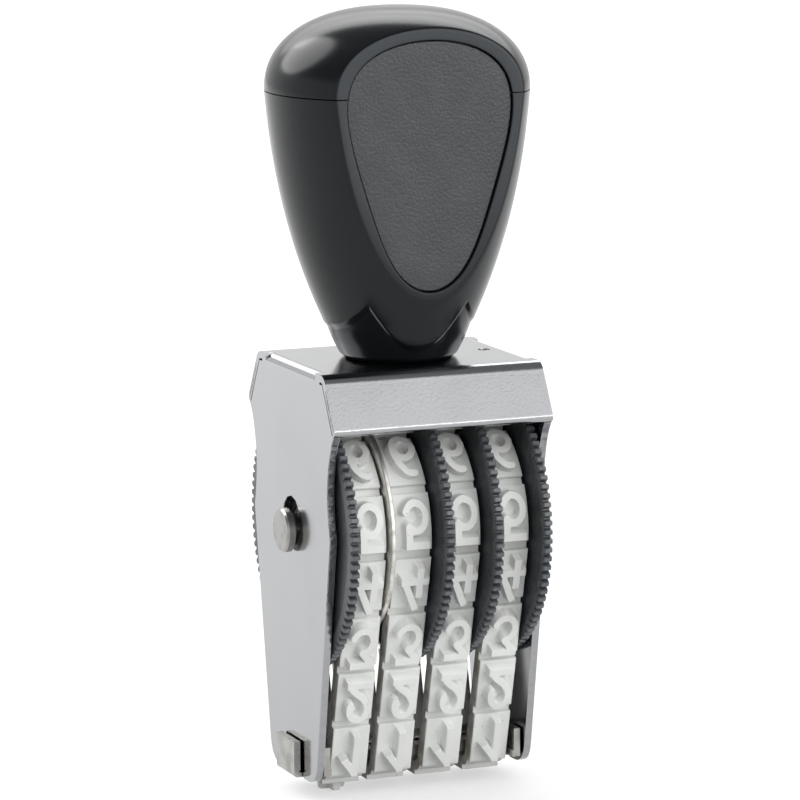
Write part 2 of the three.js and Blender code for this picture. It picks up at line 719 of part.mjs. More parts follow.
addPiece('frame', buildFrame(), steel, 0.18, 1);
addPiece('axle', buildAxle(), steel, 0.3, 1);
addPiece('bridge', buildBridge(), steel, 0.3, 1);

const firstFlange = bandStarts[0] - pieceGap - flangeThickness;
addPiece('thumb_wheel_1', buildWheel(firstFlange, 1), black, 0.45, 0);
for (let i = 1; i < bandStarts.length; i += 1) {
  const flangeFace = bandStarts[i] + drumLength + flangeThickness;
  addPiece(`thumb_wheel_${i + 1}`, buildWheel(flangeFace, -1), black, 0.45, 0);
}
bandStarts.forEach((x, i) => addPiece(`number_band_${i + 1}`, buildBand(x, i), white, 0.7, 0));
addPiece('separator_disc', buildDisc(bandStarts[1] - pieceGap - discThickness), steel, 0.4, 1);

const handle = buildHandle();
addPiece('handle_body', handle.body, black, 0.15, 0);
addPiece('handle_cap', handle.cap, black, 0.15, 0);
addPiece('front_label_plate', handle.front, 0x484c4f, 0.6, 0);
addPiece('rear_label_plate', handle.rear, 0x484c4f, 0.6, 0);
addPiece('handle_screw', buildScrew(), steel, 0.35, 1);
addPiece('lock_washer', buildWasher(), steel, 0.4, 1);
addPiece('threaded_insert', buildInsert(), 0xb08d45, 0.4, 1);

export default object;
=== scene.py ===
import math
import bmesh
import bpy
import numpy as np
from mathutils import Matrix


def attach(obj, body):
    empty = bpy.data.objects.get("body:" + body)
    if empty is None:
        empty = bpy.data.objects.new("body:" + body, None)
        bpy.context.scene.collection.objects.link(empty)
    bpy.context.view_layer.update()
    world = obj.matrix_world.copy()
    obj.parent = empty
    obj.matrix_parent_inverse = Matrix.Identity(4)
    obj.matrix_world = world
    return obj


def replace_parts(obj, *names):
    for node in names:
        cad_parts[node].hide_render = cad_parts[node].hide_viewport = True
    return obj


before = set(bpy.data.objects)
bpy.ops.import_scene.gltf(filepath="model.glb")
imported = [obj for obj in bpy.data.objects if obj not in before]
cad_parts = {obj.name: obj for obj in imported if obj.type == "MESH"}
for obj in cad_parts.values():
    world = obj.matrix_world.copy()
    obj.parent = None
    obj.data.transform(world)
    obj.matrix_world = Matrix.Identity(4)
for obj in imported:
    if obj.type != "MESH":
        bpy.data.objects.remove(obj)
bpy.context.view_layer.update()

mm = 0.001
fullTurn = 2 * math.pi
scene = bpy.context.scene


# Mesh helpers

def gridQuads(rows, columns, wrapRows=False):
    # face (i, j) joins points (i, j), (i + 1, j), (i + 1, j + 1) and (i, j + 1) of a rows x columns grid;
    # the last column joins the first, and with wrapRows the last row too
    i, j = np.meshgrid(np.arange(rows if wrapRows else rows - 1), np.arange(columns), indexing="ij")
    nextRow = (i + 1) % rows
    nextColumn = (j + 1) % columns
    corners = [i * columns + j, nextRow * columns + j,
               nextRow * columns + nextColumn, i * columns + nextColumn]
    return np.stack(corners, axis=-1).reshape(-1, 4)


def smoothStep(low, high, value):
    # 0 below low, 1 above high, 3t^2 - 2t^3 between them
    t = np.clip((value - low) / (high - low), 0, 1)
    return t * t * (3 - 2 * t)


def halving(low, high, isInside, steps=60):
    # the largest values for which isInside holds, between low and high, by halving the span between them
    for _ in range(steps):
        middle = (low + high) / 2
        inside = isInside(middle)
        low = np.where(inside, middle, low)
        high = np.where(inside, high, middle)
    return low


def softened(path, radius, steps):
    # each corner of the closed path gives way to a parabola that starts and ends one radius away from it
    path = np.asarray(path, float)
    out = []
    count = len(path)
    for i in range(count):
        before = path[i - 1] - path[i]
        after = path[(i + 1) % count] - path[i]
        start = path[i] + before * min(radius / np.linalg.norm(before), 0.49)
        end = path[i] + after * min(radius / np.linalg.norm(after), 0.49)
        for t in np.linspace(0, 1, steps + 1):
            out.append(start * (1 - t) ** 2 + path[i] * 2 * t * (1 - t) + end * t ** 2)
    return np.array(out)


def cleanMesh(name, points, faces):
    # points in mm; doubles are merged, poles close up, and the faces are turned outwards
    mesh = bpy.data.meshes.new(name)
    mesh.from_pydata((np.asarray(points) * mm).tolist(), [], [list(face) for face in faces])
    work = bmesh.new()
    work.from_mesh(mesh)
    bmesh.ops.remove_doubles(work, verts=work.verts, dist=1e-7)
    bmesh.ops.dissolve_degenerate(work, edges=work.edges, dist=1e-8)
    bmesh.ops.recalc_face_normals(work, faces=work.faces)
    work.to_mesh(mesh)
    work.free()
    return mesh


def pointsOf(mesh):
    # the mesh's points in mm, one row each
    points = np.empty(len(mesh.vertices) * 3)
    mesh.vertices.foreach_get("co", points)
    return points.reshape(-1, 3) / mm


def markPoints(mesh, name, values):
    # stores one number with each point, for the materials to read
    mesh.attributes.new(name, "FLOAT", "POINT").data.foreach_set("value", values)


def finishPiece(name, mesh, body, material, smoothAngle=38):
    # smoothAngle None keeps the normals that the mesh brings along
    if smoothAngle is not None:
        mesh.shade_smooth()
        mesh.set_sharp_from_angle(angle=math.radians(smoothAngle))
    mesh.materials.clear()
    mesh.materials.append(material)
    piece = bpy.data.objects.new(name, mesh)
    scene.collection.objects.link(piece)
    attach(piece, body)
    return piece


def turnedMesh(name, profile, columns, height, closed=False, radiusRule=None):
    # a profile of (radius, place along X) carried round a full turn: y = radius cos t,
    # z = radius sin t + height; radiusRule may change a radius by its angle
    profile = np.asarray(profile, float)
    angle = np.linspace(0, fullTurn, columns, endpoint=False)[None, :]
    radius = profile[:, :1] + 0 * angle
    if radiusRule is not None:
        radius = radiusRule(radius, angle)
    along = profile[:, 1:] + 0 * angle
    points = np.stack([along, radius * np.cos(angle), radius * np.sin(angle) + height], axis=-1)
    return cleanMesh(name, points.reshape(-1, 3), gridQuads(len(profile), columns, wrapRows=closed))


def mergedCopy(node, edgeWidth, segments=2, angle=40, moved=None):
    # the CAD node's loose triangles merged into one skin, flat regions joined, and its sharp edges rounded
    work = bmesh.new()
    work.from_mesh(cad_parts[node].data)
    bmesh.ops.remove_doubles(work, verts=work.verts, dist=1e-6)
    bmesh.ops.dissolve_limit(work, angle_limit=math.radians(1.0), verts=work.verts, edges=work.edges)
    if moved is not None:
        moved(work)
    for face in work.faces:
        face.smooth = True
    mesh = bpy.data.meshes.new(node + "_skin")
    work.to_mesh(mesh)
    work.free()
    holder = bpy.data.objects.new(node + "_holder", mesh)
    scene.collection.objects.link(holder)
    bevel = holder.modifiers.new("edges", "BEVEL")
    bevel.width = edgeWidth * mm
    bevel.segments = segments
    bevel.limit_method = "ANGLE"
    bevel.angle_limit = math.radians(angle)
    bevel.use_clamp_overlap = True
    holder.modifiers.new("even light on flats", "WEIGHTED_NORMAL").keep_sharp = True
    ready = holder.evaluated_get(bpy.context.evaluated_depsgraph_get())
    finished = bpy.data.meshes.new_from_object(ready)
    bpy.data.objects.remove(holder)
    return finished


# Shared material effects, as node groups

def makeGroup(name, inputs, outputs):
    # an empty node group with its named inputs and outputs
    group = bpy.data.node_groups.new(name, "ShaderNodeTree")
    for label, kind, value in inputs:
        socket = group.interface.new_socket(name=label, in_out="INPUT", socket_type=kind)
        if value is not None:
            socket.default_value = value
    for label, kind in outputs:
        group.interface.new_socket(name=label, in_out="OUTPUT", socket_type=kind)
    return group, group.nodes.new("NodeGroupInput"), group.nodes.new("NodeGroupOutput")


def addNode(tree, kind, settings=None, values=None):
    # settings are the node's own properties, values its unlinked inputs
    node = tree.nodes.new(kind)
    for key, value in (settings or {}).items():
        setattr(node, key, value)
    for key, value in (values or {}).items():
        node.inputs[key].default_value = value
    return node


def makeGrainGroup():
    # two sizes of noise added up: the coarse one carries the form, the fine one the tooth of the surface
    group, start, end = makeGroup("fineGrain", [
        ("Vector", "NodeSocketVector", None), ("Scale", "NodeSocketFloat", 1000.0),
        ("Detail", "NodeSocketFloat", 2.0), ("Fine Share", "NodeSocketFloat", 0.3),
    ], [("Height", "NodeSocketFloat")])
    link = group.links.new
    coarse = addNode(group, "ShaderNodeTexNoise")
    fine = addNode(group, "ShaderNodeTexNoise")
    faster = addNode(group, "ShaderNodeMath", {"operation": "MULTIPLY"}, {1: 3.1})
    weighed = addNode(group, "ShaderNodeMath", {"operation": "MULTIPLY_ADD"})
    link(start.outputs["Vector"], coarse.inputs["Vector"])
    link(start.outputs["Scale"], coarse.inputs["Scale"])
    link(start.outputs["Detail"], coarse.inputs["Detail"])
    link(start.outputs["Scale"], faster.inputs[0])
    link(start.outputs["Vector"], fine.inputs["Vector"])
    link(faster.outputs[0], fine.inputs["Scale"])
    link(fine.outputs["Fac"], weighed.inputs[0])
    link(start.outputs["Fine Share"], weighed.inputs[1])
    link(coarse.outputs["Fac"], weighed.inputs[2])
    link(weighed.outputs[0], end.inputs["Height"])
    return group


def makePatchGroup():
    # noise cut to soft-edged patches: 0 outside, 1 inside
    group, start, end = makeGroup("softPatches", [
        ("Vector", "NodeSocketVector", None), ("Scale", "NodeSocketFloat", 200.0),
        ("Detail", "NodeSocketFloat", 4.0), ("Low", "NodeSocketFloat", 0.45),
        ("High", "NodeSocketFloat", 0.65),
    ], [("Mask", "NodeSocketFloat")])
    link = group.links.new
    noise = addNode(group, "ShaderNodeTexNoise")
    cut = addNode(group, "ShaderNodeMapRange", {"interpolation_type": "SMOOTHSTEP"})
    for name in ("Vector", "Scale", "Detail"):
        link(start.outputs[name], noise.inputs[name])
    link(noise.outputs["Fac"], cut.inputs["Value"])
    link(start.outputs["Low"], cut.inputs["From Min"])
    link(start.outputs["High"], cut.inputs["From Max"])
    link(cut.outputs["Result"], end.inputs["Mask"])
    return group


grainGroup = makeGrainGroup()
patchGroup = makePatchGroup()


class Finish:
    # one Principled material on Object coordinates, with short calls for the shared effects
    def __init__(self, name, color, values):
        self.material = bpy.data.materials.new(name)
        self.material.use_nodes = True
        self.tree = self.material.node_tree
        self.shader = self.tree.nodes["Principled BSDF"]
        self.shader.inputs["Base Color"].default_value = (*color, 1)
        for key, value in values.items():
            self.shader.inputs[key].default_value = value
        self.place = self.tree.nodes.new("ShaderNodeTexCoord").outputs["Object"]

    def link(self, source, target):
        # joins an output to an input
        self.tree.links.new(source, target)

    def group(self, tree, values, vector=None):
        # a shared effect, placed here with its own values
        node = addNode(self.tree, "ShaderNodeGroup", {"node_tree": tree}, values)
        self.link(vector or self.place, node.inputs["Vector"])
        return node.outputs[0]

    def math(self, operation, a, b):
        # a and b are numbers or outputs
        node = addNode(self.tree, "ShaderNodeMath", {"operation": operation})
        for slot, value in enumerate((a, b)):
            if isinstance(value, (int, float)):
                node.inputs[slot].default_value = value
            else:
                self.link(value, node.inputs[slot])
        return node.outputs[0]

    def product(self, first, *others):
        # all of them multiplied
        for other in others:
            first = self.math("MULTIPLY", first, other)
        return first

    def distances(self):
        # distances from the middle, across and front to rear, and the height above the floor
        axes = addNode(self.tree, "ShaderNodeSeparateXYZ")
        self.link(self.place, axes.inputs[0])
        across = self.math("ABSOLUTE", axes.outputs["X"], 0)
        depth = self.math("ABSOLUTE", axes.outputs["Y"], 0)
        return across, depth, axes.outputs["Z"]

    def ramp(self, value, span, start=0.0, end=1.0):
        # runs from start to end over a span given in mm
        return self.range(value, span[0] * mm, span[1] * mm, start, end)

    def stretched(self, scale):
        # the pattern's coordinates, each axis times its own scale
        node = addNode(self.tree, "ShaderNodeMapping", None, {"Scale": scale})
        self.link(self.place, node.inputs["Vector"])
        return node.outputs["Vector"]

    def attribute(self, name):
        # a number stored with the mesh's points
        return addNode(self.tree, "ShaderNodeAttribute", {"attribute_name": name}).outputs["Fac"]

    def range(self, value, low, high, toLow, toHigh):
        # a smooth step from toLow to toHigh while the value runs from low to high
        node = addNode(self.tree, "ShaderNodeMapRange", {"interpolation_type": "SMOOTHSTEP"}, {
            "From Min": low, "From Max": high, "To Min": toLow, "To Max": toHigh})
        self.link(value, node.inputs["Value"])
        return node.outputs["Result"]

    def tint(self, mask, first, second):
        # base colour runs from the first to the second colour by the mask
        node = addNode(self.tree, "ShaderNodeMix", {"data_type": "RGBA"})
        for socket, color in ((node.inputs[6], first), (node.inputs[7], second)):
            if isinstance(color, tuple):
                socket.default_value = (*color, 1)
            else:
                self.link(color, socket)
        self.link(mask, node.inputs[0])
        self.link(node.outputs[2], self.shader.inputs["Base Color"])
        return node.outputs[2]

    def roughness(self, value):
        self.link(value, self.shader.inputs["Roughness"])

    def bump(self, height, distance, strength=1.0, below=None):
        # below: the normal of a bump that this one lies on
        node = addNode(self.tree, "ShaderNodeBump", None, {"Distance": distance * mm, "Strength": strength})
        self.link(height, node.inputs["Height"])
        if below is not None:
            self.link(below, node.inputs["Normal"])
        self.link(node.outputs["Normal"], self.shader.inputs["Normal"])
        return node.outputs["Normal"]


# Materials

plating = {                 # where the chrome changes, in mm from the middle or above the floor
    "skirtDepth": (12.3, 13.4), "skirtFoot": (51.2, 52.2), "skirtEnd": (15.45, 15.6),
    "plateInner": (14.66, 14.74), "plateOuter": (15.46, 15.53),
    "cutEdgeTop": (50.9, 51.4), "cutEdgeFade": (26.0, 42.0),
    "corner": (12.3, 58.7), "skirtFacing": (0.869, 0.495),   # (y, z) of the skirt's upper corner and normal
    "coreInner": (-0.78, -0.66), "coreOuter": (-0.32, -0.2),
    "endFace": (15.53, 15.57), "endFaceDepth": (12.8, 13.1),
}


def chromeFinish():
    # bright plate: orange peel on the sloped skirts, finer tooth on the plates, faint smears in the gloss,
    # and a torn, darker look where the sheet was sheared
    finish = Finish("chromed sheet", (0.37, 0.375, 0.382), {"Metallic": 1.0, "Roughness": 0.16})
    across, depth, height = finish.distances()
    onSkirt = finish.ramp(height, plating["skirtFoot"])
    peel = finish.product(finish.ramp(depth, plating["skirtDepth"]), onSkirt,
                          finish.ramp(across, plating["skirtEnd"], 1.0, 0.0))
    coarse = finish.group(grainGroup, {"Scale": 3000.0, "Detail": 1.0, "Fine Share": 0.1})
    fine = finish.group(grainGroup, {"Scale": 2200.0, "Detail": 2.0, "Fine Share": 0.4})
    under = finish.bump(fine, 0.0018)
    peeled = finish.bump(finish.product(coarse, peel), 0.024, below=under)
    smear = finish.group(patchGroup, {"Scale": 90.0, "Detail": 3.0, "Low": 0.3, "High": 0.8})
    plate = finish.tint(smear, (0.374, 0.378, 0.385), (0.359, 0.363, 0.372))

    # the side plates' cut edges under the skirts, and the core of each skirt's end face
    cutEdge = finish.product(finish.ramp(across, plating["plateInner"]),
                             finish.ramp(across, plating["plateOuter"], 1.0, 0.0),
                             finish.ramp(height, plating["cutEdgeTop"], 1.0, 0.0),
                             finish.ramp(height, plating["cutEdgeFade"], 0.2, 1.0))
    outward = []
    for value, corner, share in zip((depth, height), plating["corner"], plating["skirtFacing"]):
        outward.append(finish.math("MULTIPLY", finish.math("SUBTRACT", value, corner * mm), share))
    deep = finish.math("ADD", *outward)
    core = finish.product(finish.ramp(deep, plating["coreInner"]),
                          finish.ramp(deep, plating["coreOuter"], 1.0, 0.0),
                          finish.ramp(across, plating["endFace"]),
                          finish.ramp(depth, plating["endFaceDepth"]), onSkirt)
    sheared = finish.math("MAXIMUM", cutEdge, core)
    streak = finish.group(patchGroup, {"Scale": 1500.0, "Detail": 4.0, "Low": 0.35, "High": 0.65},
                          finish.stretched((0.35, 1.0, 1.0)))
    darker = finish.product(sheared, finish.range(streak, 0, 1, 0.45, 1.0))
    finish.tint(darker, plate, (0.16, 0.165, 0.175))
    finish.bump(finish.product(streak, sheared), 0.06, below=peeled)
    rougher = finish.product(finish.math("MAXIMUM", peel, sheared), 0.14)
    finish.roughness(finish.math("ADD", rougher, finish.range(smear, 0, 1, 0.13, 0.17)))
    return finish.material


def nickelFinish():
    # turned pin: fine rings on the end faces and a brushed tooth
    finish = Finish("satin nickel", (0.31, 0.306, 0.292), {"Metallic": 1.0, "Roughness": 0.27})
    brushed = finish.group(grainGroup, {"Scale": 1400.0, "Detail": 2.0, "Fine Share": 0.5},
                           finish.stretched((4.0, 1.0, 1.0)))
    finish.bump(brushed, 0.006)
    spots = finish.group(patchGroup, {"Scale": 600.0, "Low": 0.5, "High": 0.62})
    finish.tint(spots, (0.315, 0.31, 0.296), (0.255, 0.25, 0.236))
    return finish.material


def steelFinish(name, color, dark, roughness):
    # satin sheet: brushed along its length, with duller patches
    finish = Finish(name, color, {"Metallic": 1.0, "Roughness": roughness})
    brushed = finish.group(grainGroup, {"Scale": 1200.0, "Detail": 3.0, "Fine Share": 0.5},
                           finish.stretched((0.35, 1.0, 1.6)))
    finish.bump(brushed, 0.008)
    patches = finish.group(patchGroup, {"Scale": 350.0, "Low": 0.42, "High": 0.68})
    finish.tint(patches, color, dark)
    finish.roughness(finish.range(patches, 0, 1, roughness * 0.85, roughness * 1.3))
    return finish.material


def wheelFinish():
    # moulded black plastic: satin, paler towards the ridges' tips, in specks
    finish = Finish("black moulding", (0.02, 0.021, 0.023), {"Roughness": 0.38, "Specular IOR Level": 0.5})
    grain = finish.group(grainGroup, {"Scale": 1300.0, "Detail": 3.0, "Fine Share": 0.5})
    finish.bump(grain, 0.01)
    paleTip = finish.attribute("ridge")
    speck = finish.group(patchGroup, {"Scale": 900.0, "Low": 0.35, "High": 0.7})
    mask = finish.product(paleTip, finish.range(speck, 0, 1, 0.55, 1.0))
    finish.tint(mask, (0.042, 0.047, 0.052), (0.13, 0.138, 0.145))
    finish.roughness(finish.range(speck, 0, 1, 0.3, 0.44))
    return finish.material


def rubberFinish():
    # pale rubber: chalky faces, fine specks of dirt, and greyer, browner cut sides that carry painted shade
    # of the narrow gaps beside them together with grime
    finish = Finish("pale rubber", (0.74, 0.75, 0.73), {"Roughness": 0.62, "Specular IOR Level": 0.35})
    grain = finish.group(grainGroup, {"Scale": 1600.0, "Detail": 4.0, "Fine Share": 0.5})
    wave = finish.group(grainGroup, {"Scale": 260.0, "Detail": 2.0, "Fine Share": 0.2})
    under = finish.bump(wave, 0.03)
    finish.bump(grain, 0.012, below=under)
    cloud = finish.group(patchGroup, {"Scale": 180.0, "Detail": 5.0, "Low": 0.4, "High": 0.75})
    clean = finish.tint(cloud, (0.765, 0.775, 0.755), (0.70, 0.71, 0.685))
    speck = finish.group(patchGroup, {"Scale": 1500.0, "Detail": 2.0, "Low": 0.70, "High": 0.76})
    dirty = finish.tint(speck, clean, (0.56, 0.55, 0.51))
    # painted shade: the cut sides face the neighbouring bands and wheels across narrow gaps, and darker,
    # browner streaks stand in for that shade together with grime
    side = finish.attribute("side")
    streak = finish.group(patchGroup, {"Scale": 500.0, "Detail": 6.0, "Low": 0.3, "High": 0.75})
    cut = finish.product(side, finish.range(streak, 0, 1, 0.6, 1.0))
    finish.tint(cut, dirty, (0.27, 0.26, 0.225))
    return finish.material


satinRimAndPaintedSheen = {"depth": (11.66, 11.78), "height": (66.0, 90.0)}   # where the handle's flat turns satin and takes a painted sheen that grows towards the top, in mm


def handleFinish():
    # polished moulding: near black with a cool cast and fine scuffs; satin on the flat rim round the label,
    # with a painted sheen there: a paler tint, stronger towards the top
    finish = Finish("polished black", (0.004, 0.0054, 0.0068), {"Roughness": 0.2, "Specular IOR Level": 0.24})
    wave = finish.group(grainGroup, {"Scale": 120.0, "Detail": 1.0, "Fine Share": 0.1})
    under = finish.bump(wave, 0.02)
    tooth = finish.group(grainGroup, {"Scale": 1700.0, "Detail": 2.0, "Fine Share": 0.5})
    finish.bump(tooth, 0.0012, below=under)
    scuff = finish.group(patchGroup, {"Scale": 70.0, "Detail": 6.0, "Low": 0.42, "High": 0.7})
    _, depth, height = finish.distances()
    # the flat round the label, weaker low down: it both roughens the rim and places its painted sheen
    rim = finish.product(finish.ramp(depth, satinRimAndPaintedSheen["depth"]),
                         finish.ramp(height, satinRimAndPaintedSheen["height"], 0.25, 1.0))
    finish.roughness(finish.math("ADD", finish.range(scuff, 0, 1, 0.18, 0.23), finish.product(rim, 0.2)))
    body = finish.tint(scuff, (0.004, 0.0054, 0.0068), (0.006, 0.0075, 0.009))
    # painted sheen: the rim's paler tint stands in for light reflected off it, stronger higher up
    finish.tint(rim, body, (0.043, 0.048, 0.052))
    return finish.material


def labelFinish():
    # fine leather grain: rounded cells of about a third of a millimetre with a tooth on them
    finish = Finish("leather-grained black", (0.036, 0.04, 0.043),
                    {"Roughness": 0.42, "Specular IOR Level": 0.5})
    cells = addNode(finish.tree, "ShaderNodeTexVoronoi", {"feature": "SMOOTH_F1"},
                    {"Scale": 2600.0, "Smoothness": 0.6, "Randomness": 1.0})
    finish.link(finish.place, cells.inputs["Vector"])
    under = finish.bump(cells.outputs["Distance"], -0.06)
    tooth = finish.group(grainGroup, {"Scale": 2400.0, "Detail": 3.0, "Fine Share": 0.5})
    finish.bump(tooth, 0.02, below=under)
    cloud = finish.group(patchGroup, {"Scale": 240.0, "Detail": 5.0, "Low": 0.35, "High": 0.75})
    finish.tint(cloud, (0.029, 0.033, 0.036), (0.038, 0.042, 0.045))
    return finish.material


chrome = chromeFinish()
nickel = nickelFinish()
bridgeSteel = steelFinish("satin bridge steel", (0.39, 0.385, 0.363), (0.3, 0.294, 0.274), 0.3)
discSteel = steelFinish("dull disc steel", (0.8, 0.79, 0.76), (0.5, 0.485, 0.455), 0.5)
screwSteel = steelFinish("zinc plate", (0.6, 0.6, 0.6), (0.48, 0.49, 0.5), 0.35)
brass = steelFinish("turned brass", (0.7, 0.54, 0.27), (0.55, 0.4, 0.2), 0.3)
blackPlastic = wheelFinish()
rubber = rubberFinish()
polished = handleFinish()
leather = labelFinish()
print("materials ready")


# Handle

handle = {
    "foot": 58.72, "seam": 94.7, "top": 105.75, "seamGap": 0.16,
    "split": 67.9,            # below this height the neck is worked out by angle, above it by rays
    "overlap": 1.5,           # how far below the split the rays still reach
    "flat": 11.8,             # distance of the front and rear flats from the axis
    "crease": 0.45,           # softness of the edge between flat and round
    "inset": 0.42, "plate": 0.9, "plateGap": 0.07, "floorGap": 0.1, "weld": 0.03,
    "rimEdge": ((0.03, 0.3), (0.06, 0.12), (0.14, 0.03), (0.24, 0.0)),   # out from the label, below the flat
    "pocketRings": (-1.0, 0.01), "rimShares": (0.3, 0.6),
    "closeUp": 0.02,          # a side thinner than this is closed
    "creaseRings": (-0.5, -0.3, -0.15, 0.0, 0.15, 0.3, 0.5), "sideRings": 46,
    "rayCentre": 86.0, "rayTimes": (0.3, 6.0), "columns": 360,
    "neckColumns": 480, "neckRows": 90, "neckGap": 0.12, "neckLeast": 5.0, "neckOver": 0.1,
    "curveStart": 60.0, "curveSpan": 34.7,
    "bulbCurve": (0.34, 1.128, -9.969, 17.949, 8.309),   # for (height - start) / span, highest power first
    "domeRadius": 17.757, "domeFall": 2.2, "domeRound": 2.35,
    "step": 0.27, "stepFrom": 61.0, "stepTo": 64.5,      # how far the bulb's lobes stand proud of the neck
    "footDraw": 0.55, "footFrom": 59.5, "footDepth": 0.8,
    "frontLobe": 60.9, "sideLobe": 63.3, "peak": 66.8, "frontPower": 2.4, "sidePower": 2.7,
    "frontHalf": 36.5, "lobeTurn": -5.5, "lobeEdge": 0.45,
}
label = {"reach": 10.216, "lift": 0.471, "pinch": 0.339, "middle": 85.4, "half": 16.6, "edge": 0.22,
         "faceShares": (0.2, 0.4, 0.6, 0.8, 1.0), "edgeSteps": 6}


def bulbCurve(z):
    # radius as a fourth power of the height
    return np.polyval(handle["bulbCurve"], (z - handle["curveStart"]) / handle["curveSpan"])


def bulbRadius(z):
    # the curve up to the seam, then a dome: (r / domeRadius)^domeRound + (rise / dome's height)^domeFall = 1
    rise = np.clip((z - handle["seam"]) / (handle["top"] - handle["seam"]), 0, 1)
    dome = handle["domeRadius"] * (1 - rise ** handle["domeFall"]) ** (1 / handle["domeRound"])
    return np.where(z < handle["seam"], bulbCurve(z), dome)


def labelOutline(turn):
    # x = reach sin t (1 + lift cos t + pinch cos^2 t), z = middle + half cos t
    c = np.cos(turn)
    x = label["reach"] * np.sin(turn) * (1 + label["lift"] * c + label["pinch"] * c * c)
    return x, label["middle"] + label["half"] * c


# a ray runs from the ray centre to each point of the label's outline
rayX, outlineZ = labelOutline(np.linspace(0, fullTurn, handle["columns"], endpoint=False))
rayZ = outlineZ - handle["rayCentre"]
rayLength = np.hypot(rayX, rayZ)


def reachOfRays(limit):
    # how many times its own length each ray runs before r(z)^2 - x^2 falls to limit^2
    def isInside(times):
        x = rayX * times
        z = handle["rayCentre"] + rayZ * times
        onBulb = (z < handle["top"]) & (z > handle["split"] - handle["overlap"])
        radius = bulbRadius(np.clip(z, handle["curveStart"], handle["top"]))
        return onBulb & (radius ** 2 - x ** 2 > limit ** 2)
    return halving(*(0 * rayLength + times for times in handle["rayTimes"]), isInside)


def softMin(a, b, k):
    # the smaller of two values, rounded over a stretch k where they meet
    h = np.clip(k - np.abs(a - b), 0, None) / k
    return np.minimum(a, b) - h * h * k / 4


def handleRings():
    # half of the handle as rings round the label: pocket, rim, crease, then the round side to its outline at
    # y = 0; a ring's depth is given, or the smaller of the flat and the square root of r(z)^2 - x^2
    flat = handle["flat"]
    crease = reachOfRays(flat)
    edge = reachOfRays(0)
    pocket = flat - handle["inset"] - handle["plate"] - handle["floorGap"]
    rings = [(0 * rayLength, pocket)] + [(1 + out / rayLength, pocket) for out in handle["pocketRings"]]
    rings += [(1 + out / rayLength, flat - below) for out, below in handle["rimEdge"]]
    start = rings[-1][0]
    rings += [(start + (crease - start) * share, None) for share in handle["rimShares"]]
    rings += [(crease + offset / rayLength, None) for offset in handle["creaseRings"]]
    start = rings[-1][0]
    for share in np.linspace(0, 1, handle["sideRings"] + 1)[1:]:
        rings.append((start + (edge - start) * np.sin(share * math.pi / 2), None))
    rows = []
    for times, depth in rings:
        x = rayX * times
        z = handle["rayCentre"] + rayZ * times
        radius = bulbRadius(np.clip(z, handle["curveStart"], handle["top"]))
        roundSide = np.sqrt(np.clip(radius ** 2 - x ** 2, 0, None))
        y = softMin(flat, roundSide, handle["crease"]) if depth is None else np.full(len(x), depth)
        y = np.where(roundSide < handle["closeUp"], 0, np.clip(y, 0, None))
        rows.append(np.stack([x, -y, z], axis=-1))
    return np.array(rows)


def lobeEdge(angle):
    # height of the bulb's lower edge: lobes at front, rear and sides, cusps between them
    fromFront = np.abs((angle - math.radians(handle["lobeTurn"]) + 1.5 * math.pi) % fullTurn - math.pi)
    fromFront = np.minimum(fromFront, math.pi - fromFront)
    share = fromFront / math.radians(handle["frontHalf"])
    rise = handle["peak"] - handle["frontLobe"]
    front = handle["frontLobe"] + rise * np.clip(share, 0, 1) ** handle["frontPower"]
    sideShare = (math.pi / 2 - fromFront) / math.radians(90 - handle["frontHalf"])
    rise = handle["peak"] - handle["sideLobe"]
    side = handle["sideLobe"] + rise * np.clip(sideShare, 0, 1) ** handle["sidePower"]
    return np.where(share < 1, front, side)


def neckRadius(angle, z):
    # the neck runs a step inside the bulb's curve; above the lobes' edge the step is filled, and the foot
    # draws in; the flats and their crease cut it as they cut the bulb
    proud = smoothStep(-handle["lobeEdge"], handle["lobeEdge"], z - lobeEdge(angle))
    step = handle["step"] * smoothStep(handle["stepFrom"], handle["stepTo"], z)
    foot = handle["footDraw"] * np.clip((handle["footFrom"] - z) / handle["footDepth"], 0, 1) ** 2
    bulb = bulbCurve(z) - step + handle["step"] * proud - foot

    def isInside(reach):
        depth = np.sqrt(np.clip(bulb ** 2 - (reach * np.cos(angle)) ** 2, 0, None))
        return reach * np.abs(np.sin(angle)) < softMin(handle["flat"], depth, handle["crease"])
    return halving(0 * bulb + handle["neckLeast"], bulb + handle["neckOver"], isInside)


def cutAt(mesh, height, keepAbove, fill):
    # cuts the mesh level and drops one side; points close to the cut are pulled onto it, fill closes it
    work = bmesh.new()
    work.from_mesh(mesh)
    everything = list(work.verts) + list(work.edges) + list(work.faces)
    bmesh.ops.bisect_plane(work, geom=everything, dist=1e-8, plane_co=(0, 0, height * mm),
                           plane_no=(0, 0, 1), clear_inner=keepAbove, clear_outer=not keepAbove)
    near = [vertex for vertex in work.verts if abs(vertex.co.z / mm - height) < handle["weld"]]
    for vertex in near:
        vertex.co.z = height * mm
    bmesh.ops.remove_doubles(work, verts=near, dist=handle["weld"] * mm)
    if fill:
        edges = [edge for edge in work.edges if edge.is_boundary]
        bmesh.ops.contextual_create(work, geom=edges)
        bmesh.ops.recalc_face_normals(work, faces=work.faces)
    out = bpy.data.meshes.new(mesh.name + "_cut")
    work.to_mesh(out)
    work.free()
    return out


def zipLoops(first, firstAngle, second, secondAngle):
    # triangles between two loops that both run round by rising angle: one for each edge of either loop,
    # which ends at the other loop's point that has been reached by then
    firstNext = np.append(firstAngle[1:], firstAngle[0] + fullTurn)
    secondNext = np.append(secondAngle[1:], secondAngle[0] + fullTurn)
    facingFirst = second[np.searchsorted(secondNext, firstNext, side="left") % len(second)]
    facingSecond = first[np.searchsorted(firstNext, secondNext, side="right") % len(first)]
    return np.vstack([np.stack([first, facingFirst, np.roll(first, -1)], axis=-1),
                      np.stack([facingSecond, second, np.roll(second, -1)], axis=-1)])


